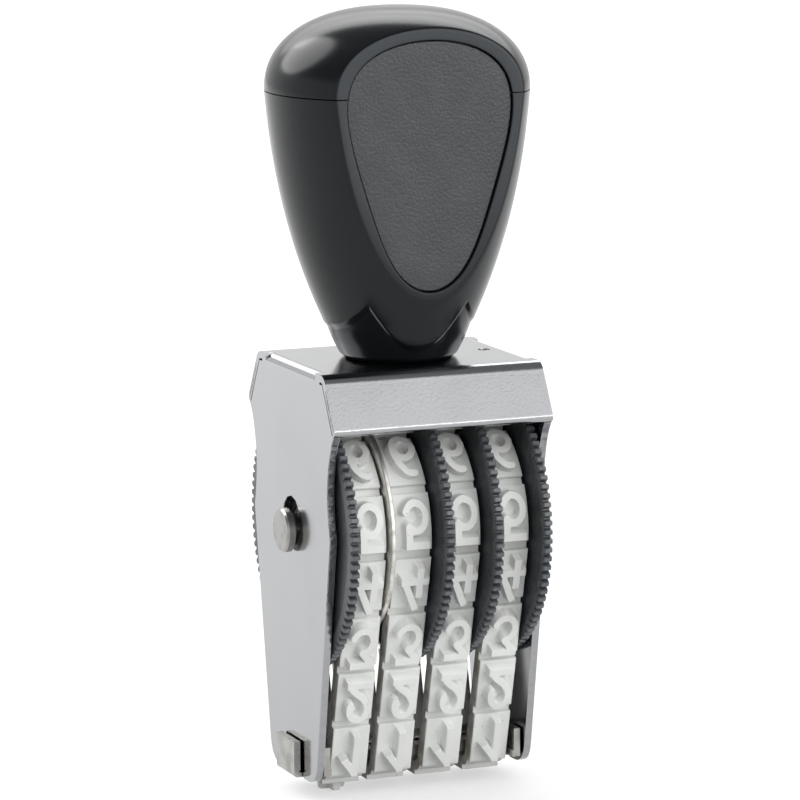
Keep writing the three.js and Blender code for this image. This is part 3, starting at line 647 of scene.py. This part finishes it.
def withNeck(mesh):
    # below the open lower loop of the bulb, even rings of neckRadius down to the foot, closed by a flat sole
    points = pointsOf(mesh)
    loop = np.flatnonzero(np.abs(points[:, 2] - handle["split"]) < 1e-4)
    loop = loop[np.argsort(np.arctan2(points[loop, 1], points[loop, 0]))]
    loopAngle = np.arctan2(points[loop, 1], points[loop, 0])
    angle = np.linspace(-math.pi, math.pi, handle["neckColumns"], endpoint=False)
    levels = np.linspace(handle["split"] - handle["neckGap"], handle["foot"], handle["neckRows"])[:, None]
    radius = neckRadius(angle[None, :], levels)
    rings = np.stack([radius * np.cos(angle), radius * np.sin(angle), levels + 0 * radius], axis=-1)
    start = len(points)
    quads = gridQuads(len(levels), len(angle)) + start
    joint = zipLoops(loop, loopAngle, np.arange(start, start + len(angle)), angle)
    sole = start + radius.size
    last = np.arange(sole - len(angle), sole)
    fan = np.stack([last, np.full(len(angle), sole), np.roll(last, -1)], axis=-1)
    whole = np.vstack([points, rings.reshape(-1, 3), [[0, 0, handle["foot"]]]])
    old = [list(face.vertices) for face in mesh.polygons]
    return cleanMesh("handle_bulb", whole, old + joint.tolist() + quads.tolist() + fan.tolist())


half = handleRings()
shell = np.concatenate([half, half[::-1] * [1, -1, 1]])
shellMesh = cleanMesh("handle_shell", shell.reshape(-1, 3), gridQuads(len(shell), handle["columns"]))
upper = cutAt(shellMesh, handle["seam"] + handle["seamGap"] / 2, True, True)
lower = cutAt(shellMesh, handle["seam"] - handle["seamGap"] / 2, False, True)
lower = withNeck(cutAt(lower, handle["split"], True, False))
capPiece = finishPiece("handle_dome", upper, "stamp", polished)
bodyPiece = finishPiece("handle_bulb", lower, "stamp", polished)
for piece in (capPiece, bodyPiece):
    piece.modifiers.new("even light", "WEIGHTED_NORMAL").keep_sharp = True
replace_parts(capPiece, "handle_cap")
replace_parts(bodyPiece, "handle_body")


def labelMesh(side):
    # rings of the label's outline drawn in towards the middle: grained face, rounded edge, flat back
    face = handle["flat"] - handle["inset"]
    gap = handle["plateGap"]
    edge = label["edge"]
    rings = [(0 * rayLength, face)]
    rings += [(share * (1 - (gap + edge) / rayLength), face) for share in label["faceShares"]]
    for t in np.linspace(0, math.pi / 2, label["edgeSteps"] + 1)[1:]:
        rings.append((1 - (gap + edge * (1 - math.sin(t))) / rayLength, face - edge * (1 - math.cos(t))))
    rings += [(1 - gap / rayLength, face - handle["plate"]), (0 * rayLength, face - handle["plate"])]
    rows = [np.stack([rayX * times, 0 * rayX + side * depth, handle["rayCentre"] + rayZ * times], axis=-1)
            for times, depth in rings]
    points = np.array(rows)
    return cleanMesh("label", points.reshape(-1, 3), gridQuads(len(points), handle["columns"]))


for side, place in ((-1, "front"), (1, "rear")):
    plate = finishPiece("label_plate_" + place, labelMesh(side), "stamp", leather)
    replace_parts(plate, place + "_label_plate")
print("handle ready")


# Number bands

band = {
    "starts": (-12.9, -6.4, 0.6, 7.6), "width": 5.3, "thickness": 2.0, "groove": 0.75,
    "block": 7.05, "neutral": 0.7, "count": 15, "relief": 1.4,
    "frontLead": 0.8, "leadStep": 0.2, "frontBlocks": 7,   # the blocks in front stand past their even places
    "characterHeight": 6.15, "characterWidth": 4.05, "stroke": 1.0,
    "draft": 0.13,            # slope of a character's walls, as a width on the face
    "lean": 0.28,             # how far a character's face leans towards the print side
    "innerRadius": 12.2, "noseHalf": 3.55, "noseRadius": 0.95, "axle": 36.1, "bottom": 3.4,
    "rows": 68, "columns": 54, "grooveRows": 5, "edge": 0.14,
    "edgeShare": 0.3,         # the rounded edge has one more line at this share of its width
    "fillet": 0.07, "filletReach": 0.35, "softWall": 0.35, "sideShares": (0.25, 0.5, 0.75), "sideNear": 0.03,
}


def beltMeasures():
    # half a loop on the neutral layer: under the bridge, round its edge, up the tangent, round the drum
    nose = np.array([-band["noseHalf"], band["bottom"] + band["noseRadius"]])
    drum = np.array([0.0, band["axle"]])
    span = np.linalg.norm(drum - nose)
    tilt = math.atan2(drum[1] - nose[1], band["noseHalf"])
    tilt -= math.acos((band["innerRadius"] - band["noseRadius"]) / span)
    run = math.sqrt(span ** 2 - (band["innerRadius"] - band["noseRadius"]) ** 2)
    noseTurn = math.pi / 2 - tilt
    drumTurn = math.pi / 2 + tilt
    lengths = np.array([band["noseHalf"], (band["noseRadius"] + band["neutral"]) * noseTurn, run,
                        (band["innerRadius"] + band["neutral"]) * drumTurn])
    return nose, drum, noseTurn, drumTurn, lengths


nose, drum, noseTurn, drumTurn, stretches = beltMeasures()
halfLoop = stretches.sum()
pitch = 2 * halfLoop / band["count"]


def beltPoint(along, depth):
    # (y, z) of the belt at a distance along its neutral layer and a depth out from its back: straight, an arc
    # round the nose, straight, an arc round the drum, and the same mirrored at the rear
    along = np.asarray(along, float) % (2 * halfLoop)
    rear = along > halfLoop
    rest = np.where(rear, 2 * halfLoop - along, along)
    marks = np.cumsum(stretches)
    onNose = np.clip((rest - marks[0]) / stretches[1], 0, 1) * noseTurn
    onDrum = noseTurn + np.clip((rest - marks[2]) / stretches[3], 0, 1) * drumTurn
    up = np.clip(rest - marks[1], 0, stretches[2])
    small = band["noseRadius"] + depth
    large = band["innerRadius"] + depth
    flatY = -np.clip(rest, 0, marks[0])
    y = np.where(rest <= marks[0], flatY, nose[0] - np.sin(onNose) * small - math.cos(noseTurn) * up)
    climb = nose[1] - np.cos(onNose) * small + math.sin(noseTurn) * up
    z = np.where(rest <= marks[0], band["bottom"] - depth, climb)
    y = np.where(rest > marks[2], drum[0] - np.sin(onDrum) * large, y)
    z = np.where(rest > marks[2], drum[1] - np.cos(onDrum) * large, z)
    return np.where(rear, -y, y), z


def blockMiddle(index):
    # even places plus a lead that grows along the front and is made up again at the rear
    if index == 0:
        return 0.0
    lead = band["frontLead"] + band["leadStep"] * min(index, band["frontBlocks"])
    return pitch * index + lead * min(1, (band["count"] - index) / (band["count"] - band["frontBlocks"]))


def arc(x, y, across, up, start, end, steps=20):
    # part of an ellipse: x + across cos t, y + up sin t
    turn = np.radians(np.linspace(start, end, steps + 1))
    return np.stack([x + across * np.cos(turn), y + up * np.sin(turn)], axis=-1).tolist()


# centre lines in shares of the width and height between stroke centres; True marks square stroke ends:
# a plus sign, 1 to 9, 0, a slash, a dash, a dot and a colon
characters = [
    [([[-0.4, 0], [0.4, 0]], True), ([[0, -0.3], [0, 0.3]], True)],
    [([[0.12, 0.5], [0.12, -0.5]], True), ([[-0.36, 0.14], [0.06, 0.47]], True)],
    [(arc(0.02, 0.2, 0.42, 0.3, 205, -12)
      + [[0.36, 0.03], [0.2, -0.12], [-0.08, -0.25], [-0.3, -0.37], [-0.38, -0.46]], False),
     ([[-0.42, -0.5], [0.47, -0.5]], True), ([[-0.38, 0.1], [-0.3, 0.16]], False)],
    [([[-0.42, 0.5], [0.42, 0.5]], True), ([[0.42, 0.46], [-0.02, 0.14]], False),
     (arc(-0.03, -0.19, 0.47, 0.31, 88, -160), False)],
    [([[0.06, 0.5], [-0.46, -0.2]], True), ([[-0.48, -0.22], [0.5, -0.22]], True),
     ([[0.24, 0.14], [0.24, -0.5]], True)],
    [([[0.42, 0.5], [-0.36, 0.5]], True), ([[-0.36, 0.5], [-0.36, 0.06]], False),
     (arc(-0.03, -0.17, 0.47, 0.33, 132, -158), False)],
    [(arc(0, -0.22, 0.45, 0.28, 0, 360), False), (arc(0.2, -0.2, 0.66, 0.68, 82, 180), False)],
    [([[-0.46, 0.5], [0.46, 0.5]], True), ([[0.44, 0.46], [-0.12, -0.5]], True)],
    [(arc(0, 0.26, 0.38, 0.24, 0, 360), False), (arc(0, -0.23, 0.46, 0.27, 0, 360), False)],
    [(arc(0, 0.22, 0.45, 0.28, 0, 360), False), (arc(-0.2, 0.2, 0.66, 0.68, 262, 360), False)],
    [(arc(0, 0, 0.45, 0.5, 0, 360, 32), False)],
    [([[-0.36, -0.5], [0.36, 0.5]], True)],
    [([[-0.36, 0], [0.36, 0]], True)],
    [([[0, -0.5], [0, -0.42]], True)],
    [([[0, 0.24], [0, 0.32]], True), ([[0, -0.32], [0, -0.24]], True)],
]


def distanceTo(stroke, square, x, y):
    # distance from each grid point to the stroke's centre line: the hypotenuse of the distances beside it and
    # past its end, or the larger of the two at a square end
    wide = band["characterWidth"] - band["stroke"]
    high = band["characterHeight"] - band["stroke"]
    line = np.asarray(stroke, float) * [wide, -high]
    nearest = np.full(x.shape, 99.0)
    last = len(line) - 2
    for i, (a, b) in enumerate(zip(line[:-1], line[1:])):
        length = np.linalg.norm(b - a)
        way = (b - a) / length
        t = (x - a[0]) * way[0] + (y - a[1]) * way[1]
        p = np.abs((x - a[0]) * way[1] - (y - a[1]) * way[0])
        over = np.maximum(np.maximum(-t, t - length), 0)
        flatEnd = square and ((i == 0) | (i == last))
        away = np.maximum(p, over) if flatEnd else np.hypot(p, over)
        nearest = np.minimum(nearest, away)
    return nearest


def reliefOf(index, x, y):
    # height of a character over its block: flat tops, drafted walls, a small fillet at the foot
    nearest = np.full(x.shape, 99.0)
    for stroke, square in characters[index]:
        nearest = np.minimum(nearest, distanceTo(stroke, square, x, y))
    inside = (band["stroke"] / 2 + band["draft"] - nearest) / band["draft"]
    wall = np.clip(inside, 0, 1)
    top = smoothStep(0, 1, wall) * band["softWall"] + wall * (1 - band["softWall"])
    beyond = (nearest - band["stroke"] / 2 - band["draft"]) / band["filletReach"]
    fillet = band["fillet"] * np.clip(1 - beyond, 0, 1) ** 2
    return band["relief"] * np.maximum(top, fillet * (inside < 0))


def withEdges(length, count):
    # places along a stretch, and how far each lies under its face: the edge falls off at both ends
    edge = band["edge"]
    inner = np.linspace(edge, length - edge, count)
    nearEdge = edge * band["edgeShare"]
    places = np.concatenate([[0.0, nearEdge], inner, [length - nearEdge, length]])
    fall = np.concatenate([[edge, nearEdge], 0 * inner, [nearEdge, edge]])
    return places, fall


def bandMesh(order):
    # rows run along the belt, columns round its section: face with the characters, side, back, side;
    # a block is the belt's path at thickness + relief, the groove after it the path at its own depth
    xStart = band["starts"][order]
    columns, sink = withEdges(band["width"], band["columns"])
    grooveDepth = band["thickness"] - band["groove"]
    grooveShares = np.linspace(0, 1, band["grooveRows"])
    rows = []
    for index in range(band["count"]):
        middle = blockMiddle(index)
        low = middle - band["block"] / 2
        high = middle + band["block"] / 2
        ends = np.array(beltPoint([low, high], band["thickness"]))
        length = np.linalg.norm(ends[:, 1] - ends[:, 0])
        places, fall = withEdges(length, band["rows"])
        x, y = np.meshgrid(columns - band["width"] / 2, places - length / 2)
        blank = index == 0 and order > 0
        rise = np.zeros(x.shape) if blank else reliefOf(index, x, y)
        along = low + (high - low) * places / length
        lean = 0.0 if index == 0 else band["lean"]
        leaning = along[:, None] - lean * rise / band["relief"]
        rise = rise - np.maximum(fall[:, None], sink[None, :])
        top = np.stack(beltPoint(leaning, band["thickness"] + rise), axis=-1)
        rows.append(sectionRows(top, columns, along, xStart))

        after = blockMiddle(index + 1) if index + 1 < band["count"] else pitch * band["count"]
        along = high + (after - middle - band["block"]) * grooveShares
        groove = np.stack(beltPoint(along, grooveDepth + 0 * along), axis=-1)
        top = np.repeat(groove[:, None, :], len(columns), axis=1)
        rows.append(sectionRows(top, columns, along, xStart))
    points = np.concatenate(rows)
    mesh = cleanMesh("band", points.reshape(-1, 3), gridQuads(len(points), points.shape[1], wrapRows=True))
    markSides(mesh, xStart)
    return mesh


def sectionRows(top, columns, along, xStart):
    # closes each row round the belt: down one side, along the back and up the other, by shares of the way
    back = np.stack(beltPoint(along, 0 * along), axis=-1)
    across = np.broadcast_to((columns + xStart)[None, :, None], top.shape[:2] + (1,))
    right = columns[-1]
    loop = [(right, top[:, -1] * (1 - share) + back * share) for share in band["sideShares"]]
    loop += [(right * share, back) for share in (1.0, *band["sideShares"][::-1], 0.0)]
    loop += [(0.0, top[:, 0] * (1 - share) + back * share) for share in band["sideShares"][::-1]]
    extra = [np.column_stack([np.full(len(back), xStart + x), places]) for x, places in loop]
    return np.concatenate([np.concatenate([across, top], axis=-1), np.stack(extra, axis=1)], axis=1)


def markSides(mesh, xStart):
    # "side" is 1 on the cut sides of the belt and 0 on its faces; it marks where the rubber's painted shade
    # of the gaps goes
    across = pointsOf(mesh)[:, 0] - xStart
    toSide = np.minimum(np.abs(across), np.abs(across - band["width"]))
    markPoints(mesh, "side", (toSide < band["sideNear"]).astype(float))


for order in range(len(band["starts"])):
    piece = finishPiece("rubber_band_" + str(order + 1), bandMesh(order), "stamp", rubber, 50)
    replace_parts(piece, "number_band_" + str(order + 1))
print("bands ready")


# Thumb wheels

wheel = {
    "tip": 19.0, "tooth": 0.7, "teeth": 96, "flange": 1.1, "drum": 11.9, "length": 6.7,
    "wall": 1.4, "hub": 5.2, "bore": 3.3, "web": 1.6, "axle": 36.1, "perTooth": 10,
    "crest": 0.42, "root": 0.8,   # a ridge's flank, from its middle at 0 to the gap's middle at 1
    "recess": 0.12, "deepRecess": 0.22, "round": 0.2,
    "paleTip": (0.25, 0.02),       # below the tip: where the paler tone starts and where it is full
    "faces": ((-14.3, 1), (0.3, -1), (7.3, -1), (14.3, -1)),
}


def knurl(radius, angle):
    # ridges with flat crests and sloped flanks cap the radius of everything near the rim:
    # tip - tooth * smoothStep(phase), where the phase runs 0 to 1 from a ridge's middle to the gap's
    phase = np.abs((angle * wheel["teeth"] / fullTurn) % 1.0 - 0.5) * 2
    cap = wheel["tip"] - wheel["tooth"] * smoothStep(wheel["crest"], wheel["root"], phase)
    return np.minimum(radius, cap + np.clip(radius - wheel["tip"], -0.2, 0))


def wheelMesh(face, side):
    # one profile of (radius, depth behind the flange's face), turned about the axle's line
    tip = wheel["tip"]
    hub = wheel["hub"]
    drum = wheel["drum"]
    flange = wheel["flange"]
    length = wheel["length"]
    recess = wheel["recess"]
    deep = wheel["deepRecess"]
    inside = drum - wheel["wall"]
    profile = [
        (wheel["bore"], 0.0), (hub + 0.6, 0.0), (hub + 0.9, deep), (tip - 2.3, deep), (tip - 2.0, 0.0),
        (tip - 0.95, 0.0), (tip - 0.5, 0.0), (tip - recess, 0.0), (tip, recess), (tip, 0.4), (tip, 0.7),
        (tip, flange - recess), (tip - recess, flange), (tip - 0.5, flange), (tip - 0.95, flange),
        (tip - 1.3, flange), (tip - 1.6, flange - recess), (drum + 0.5, flange - recess),
        (drum, flange + wheel["round"]), (drum, length - wheel["round"]), (drum - wheel["round"], length),
        (inside, length), (inside, wheel["web"]), (hub, wheel["web"]), (hub, length), (wheel["bore"], length),
    ]
    placed = [(radius, face + side * x) for radius, x in profile]
    columns = wheel["teeth"] * wheel["perTooth"]
    mesh = turnedMesh("wheel", placed, columns, wheel["axle"], True, knurl)
    points = pointsOf(mesh)
    radius = np.hypot(points[:, 1], points[:, 2] - wheel["axle"])
    markPoints(mesh, "ridge", smoothStep(*(tip - below for below in wheel["paleTip"]), radius))
    return mesh


for order, (face, side) in enumerate(wheel["faces"]):
    name = "wheel_" + str(order + 1)
    piece = finishPiece("knurled_" + name, wheelMesh(face, side), name, blackPlastic, 32)
    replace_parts(piece, "thumb_" + name)
print("wheels ready")


# Axle and separator disc

axle = {"radius": 3.0, "neck": 2.05, "height": 36.1, "innerFace": 14.3, "headFace": 16.05, "end": 17.25,
        "chamfer": 0.28, "edge": 0.08, "crown": 0.02}


def axleMesh():
    # a turned pin: shaft, a groove at each side plate, and a head with a chamfered, slightly crowned face
    radius = axle["radius"]
    neck = axle["neck"]
    headFace = axle["headFace"]
    end = axle["end"]
    halfPin = [(radius, axle["innerFace"]), (neck, axle["innerFace"]), (neck, headFace),
               (radius - axle["edge"], headFace), (radius, headFace + axle["edge"]),
               (radius, end - axle["chamfer"]), (radius - axle["chamfer"], end - axle["crown"]),
               (radius * 0.5, end), (0.0, end)]
    mirrored = [(across, -x) for across, x in reversed(halfPin)]
    return turnedMesh("axle", mirrored + halfPin, 96, axle["height"])


pin = finishPiece("axle_pin", axleMesh(), "stamp", nickel)
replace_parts(pin, "axle")

disc = {"radius": 15.4, "bore": 3.3, "left": -7.3, "right": -6.7, "edge": 0.16}
discPath = [(disc["bore"], disc["left"]), (disc["radius"], disc["left"]),
            (disc["radius"], disc["right"]), (disc["bore"], disc["right"])]
discMesh = turnedMesh("disc", softened(discPath, disc["edge"], 3), 180, axle["height"], True)
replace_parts(finishPiece("steel_disc", discMesh, "stamp", discSteel), "separator_disc")


# Sheet frame and bridge

sheet = {"edge": 0.16, "bendY": 11.37, "bendZ": 57.1, "bend": 1.6, "wideBend": 2.2, "cornerY": 12.3,
         "top": 58.7, "slope": 60.3, "hemY": 16.4, "hemZ": 51.5, "hem": 0.72, "bridgeEdge": 0.12,
         "near": 0.04, "bendFrom": (-0.02, 0.75), "hemNear": 0.05, "hemLength": 5.0}


def widenBends(work):
    # the outer bends front and rear take a larger radius r that touches the same two flats: each point keeps
    # its angle t about the bend and moves to y = corner - r tan(slope / 2) + r sin t, z = top - r (1 - cos t)
    reach = sheet["wideBend"] * math.tan(math.radians(sheet["slope"] / 2))
    for vertex in work.verts:
        y = abs(vertex.co.y) / mm - sheet["bendY"]
        z = vertex.co.z / mm - sheet["bendZ"]
        onBend = abs(math.hypot(y, z) - sheet["bend"]) < sheet["near"]
        if onBend and y > sheet["bendFrom"][0] and z > sheet["bendFrom"][1]:
            turn = math.atan2(y, z)
            side = math.copysign(mm, vertex.co.y)
            vertex.co.y = side * (sheet["cornerY"] - reach + sheet["wideBend"] * math.sin(turn))
            vertex.co.z = mm * (sheet["top"] - sheet["wideBend"] * (1 - math.cos(turn)))


def shapeSheet(work):
    # wide bends, then a rounded roll along the outer lower edge of each skirt, found by its long edges
    widenBends(work)
    rolled = []
    for edge in work.edges:
        ends = [(abs(vertex.co.y) / mm, vertex.co.z / mm) for vertex in edge.verts]
        along = abs(edge.verts[0].co.x - edge.verts[1].co.x) / mm
        off = max(math.hypot(y - sheet["hemY"], z - sheet["hemZ"]) for y, z in ends)
        if along > sheet["hemLength"] and off < sheet["hemNear"]:
            rolled.append(edge)
    bmesh.ops.bevel(work, geom=rolled, offset=sheet["hem"] * mm, segments=5, profile=0.5, affect="EDGES",
                    offset_type="OFFSET")


sheetMesh = mergedCopy("frame", sheet["edge"], 3, 40, shapeSheet)
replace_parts(finishPiece("frame_sheet", sheetMesh, "stamp", chrome, None), "frame")
bridgeMesh = mergedCopy("bridge", sheet["bridgeEdge"], 2)
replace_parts(finishPiece("bridge_sheet", bridgeMesh, "stamp", bridgeSteel, None), "bridge")

# Fastening inside the frame keeps its CAD shape
for node, material in (("handle_screw", screwSteel), ("lock_washer", screwSteel), ("threaded_insert", brass)):
    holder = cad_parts[node]
    holder.data.materials.clear()
    holder.data.materials.append(material)
print("frame and pins ready")


# Stage: pale floor

studio = {
    "low": (1.0, 1.0, 1.0), "high": (0.26, 0.265, 0.275), "fadeStart": 0.22, "fadeEnd": 0.42,
    "ambient": (0.74, 0.745, 0.75), "floorColor": (0.45, 0.45, 0.45), "floorGlow": 0.5,
    "floorRings": (0.0, 200.0, 800.0, 4000.0), "floorHeight": -0.05,   # just under the print faces
    "lamps": (   # name, place, target, width and height in mm, watts, shape
        ("low rear box", (591, 1212, 728), (0, 0, 70), (2300, 315), 4.3, "RECTANGLE"),
        ("high rear box", (504, 1033, 1034), (0, 0, 70), (2300, 422), 9.8, "RECTANGLE"),
        ("left box", (-740, 960, 930), (0, 0, 70), (1150, 1150), 15.0, "ELLIPSE"),
        ("front box", (644, -1157, 770), (0, 0, 60), (2200, 1300), 12.5, "RECTANGLE"),
        ("low front strip", (800, -1240, 330), (0, 0, 60), (1300, 260), 3.2, "RECTANGLE"),
    ),
}


def seenRays(tree):
    # 1 for camera, mirror and glass rays, which see the pale background; 0 for light itself
    rays = tree.nodes.new("ShaderNodeLightPath")
    mirror = addNode(tree, "ShaderNodeMath", {"operation": "MAXIMUM"})
    glass = addNode(tree, "ShaderNodeMath", {"operation": "MAXIMUM"})
    tree.links.new(rays.outputs["Is Camera Ray"], mirror.inputs[0])
    tree.links.new(rays.outputs["Is Glossy Ray"], mirror.inputs[1])
    tree.links.new(mirror.outputs[0], glass.inputs[0])
    tree.links.new(rays.outputs["Is Transmission Ray"], glass.inputs[1])
    return glass.outputs[0]


def floorMesh():
    # a flat disc of rings round the middle, wide enough to fill the view
    radius = np.array(studio["floorRings"])[:, None]
    angle = np.linspace(0, fullTurn, 64, endpoint=False)[None, :]
    height = 0 * radius * angle + studio["floorHeight"]
    points = np.stack([radius * np.cos(angle), radius * np.sin(angle), height], axis=-1)
    return cleanMesh("floor", points.reshape(-1, 3), gridQuads(len(radius), angle.size))


def floorMaterial():
    # pale floor that takes the shadow; camera and mirror rays also see a little glow, so it reads white
    material = bpy.data.materials.new("pale floor")
    material.use_nodes = True
    tree = material.node_tree
    shader = tree.nodes["Principled BSDF"]
    shader.inputs["Base Color"].default_value = (*studio["floorColor"], 1)
    shader.inputs["Roughness"].default_value = 0.9
    shader.inputs["Specular IOR Level"].default_value = 0.1
    shader.inputs["Emission Color"].default_value = (1, 1, 1, 1)
    glow = addNode(tree, "ShaderNodeMath", {"operation": "MULTIPLY"}, {1: studio["floorGlow"]})
    tree.links.new(seenRays(tree), glow.inputs[0])
    tree.links.new(glow.outputs[0], shader.inputs["Emission Strength"])
    return material


floor = bpy.data.objects.new("floor", floorMesh())
floor.data.materials.append(floorMaterial())
floor.data.flip_normals()
scene.collection.objects.link(floor)


# World and lamps

def makeWorld():
    # white to the camera, even ambient light to matt surfaces; mirrors see a pale wall under a dim ceiling
    world = bpy.data.worlds.new("studio")
    scene.world = world
    world.use_nodes = True
    tree = world.node_tree
    background = tree.nodes["Background"]
    way = tree.nodes.new("ShaderNodeTexCoord")
    axes = tree.nodes.new("ShaderNodeSeparateXYZ")
    height = addNode(tree, "ShaderNodeMapRange", {"interpolation_type": "SMOOTHSTEP"}, {
        "From Min": studio["fadeStart"], "From Max": studio["fadeEnd"]})
    room = addNode(tree, "ShaderNodeMix", {"data_type": "RGBA"})
    room.inputs[6].default_value = (*studio["low"], 1)
    room.inputs[7].default_value = (*studio["high"], 1)
    rays = tree.nodes.new("ShaderNodeLightPath")
    matt = addNode(tree, "ShaderNodeMix", {"data_type": "RGBA"})
    matt.inputs[7].default_value = (*studio["ambient"], 1)
    blend = addNode(tree, "ShaderNodeMix", {"data_type": "RGBA"})
    blend.inputs[7].default_value = (1, 1, 1, 1)
    tree.links.new(way.outputs["Generated"], axes.inputs[0])
    tree.links.new(axes.outputs["Z"], height.inputs["Value"])
    tree.links.new(height.outputs["Result"], room.inputs[0])
    tree.links.new(room.outputs[2], matt.inputs[6])
    tree.links.new(rays.outputs["Is Diffuse Ray"], matt.inputs[0])
    tree.links.new(matt.outputs[2], blend.inputs[6])
    tree.links.new(rays.outputs["Is Camera Ray"], blend.inputs[0])
    tree.links.new(blend.outputs[2], background.inputs["Color"])
    background.inputs["Strength"].default_value = 1.0


def addLamp(name, place, target, size, power, shape):
    # a soft box at a place in mm, turned towards a target
    lamp = bpy.data.lights.new(name, "AREA")
    lamp.shape = shape
    lamp.size = size[0] * mm
    lamp.size_y = size[1] * mm
    lamp.energy = power
    holder = bpy.data.objects.new(name, lamp)
    scene.collection.objects.link(holder)
    way = np.array(place, float) - np.array(target, float)
    back = way / np.linalg.norm(way)
    right = np.cross([0, 1, 0] if abs(back[2]) > 0.99 else [0, 0, 1], back)
    right /= np.linalg.norm(right)
    up = np.cross(back, right)
    setMatrix(holder, right, up, back, np.array(place) * mm)


def setMatrix(holder, right, up, back, place):
    # lamps and cameras look along -Z of their own axes, so their Z axis is the way back
    rows = [[right[i], up[i], back[i], place[i]] for i in range(3)] + [[0, 0, 0, 1]]
    holder.matrix_world = Matrix(rows)


makeWorld()
for lampValues in studio["lamps"]:
    addLamp(*lampValues)


# Camera

view = {"target": (0.336, 0.0, 52.57), "yaw": 22.192, "pitch": 9.6075, "roll": -0.3, "distance": 600.0,
        "lens": 200.28, "shiftX": -0.00125, "shiftY": 0.0}


def makeCamera():
    # looks along the yaw and pitch at the target, then rolls about its own axis
    yaw = math.radians(view["yaw"])
    pitchAngle = math.radians(view["pitch"])
    roll = math.radians(view["roll"])
    level = math.cos(pitchAngle)
    back = np.array([-math.sin(yaw) * level, -math.cos(yaw) * level, math.sin(pitchAngle)])
    place = np.array(view["target"]) + back * view["distance"]
    right = np.cross(-back, [0, 0, 1])
    right /= np.linalg.norm(right)
    up = np.cross(right, -back)
    rolledRight = math.cos(roll) * right + math.sin(roll) * up
    rolledUp = -math.sin(roll) * right + math.cos(roll) * up
    camera = bpy.data.cameras.new("camera")
    camera.sensor_width = 36.0
    camera.lens = view["lens"]
    camera.shift_x = view["shiftX"]
    camera.shift_y = view["shiftY"]
    camera.clip_start = 0.01
    camera.clip_end = 20.0
    holder = bpy.data.objects.new("camera", camera)
    scene.collection.objects.link(holder)
    setMatrix(holder, rolledRight, rolledUp, back, place * mm)
    scene.camera = holder


makeCamera()
scene.view_settings.view_transform = "Standard"
print("stage ready")
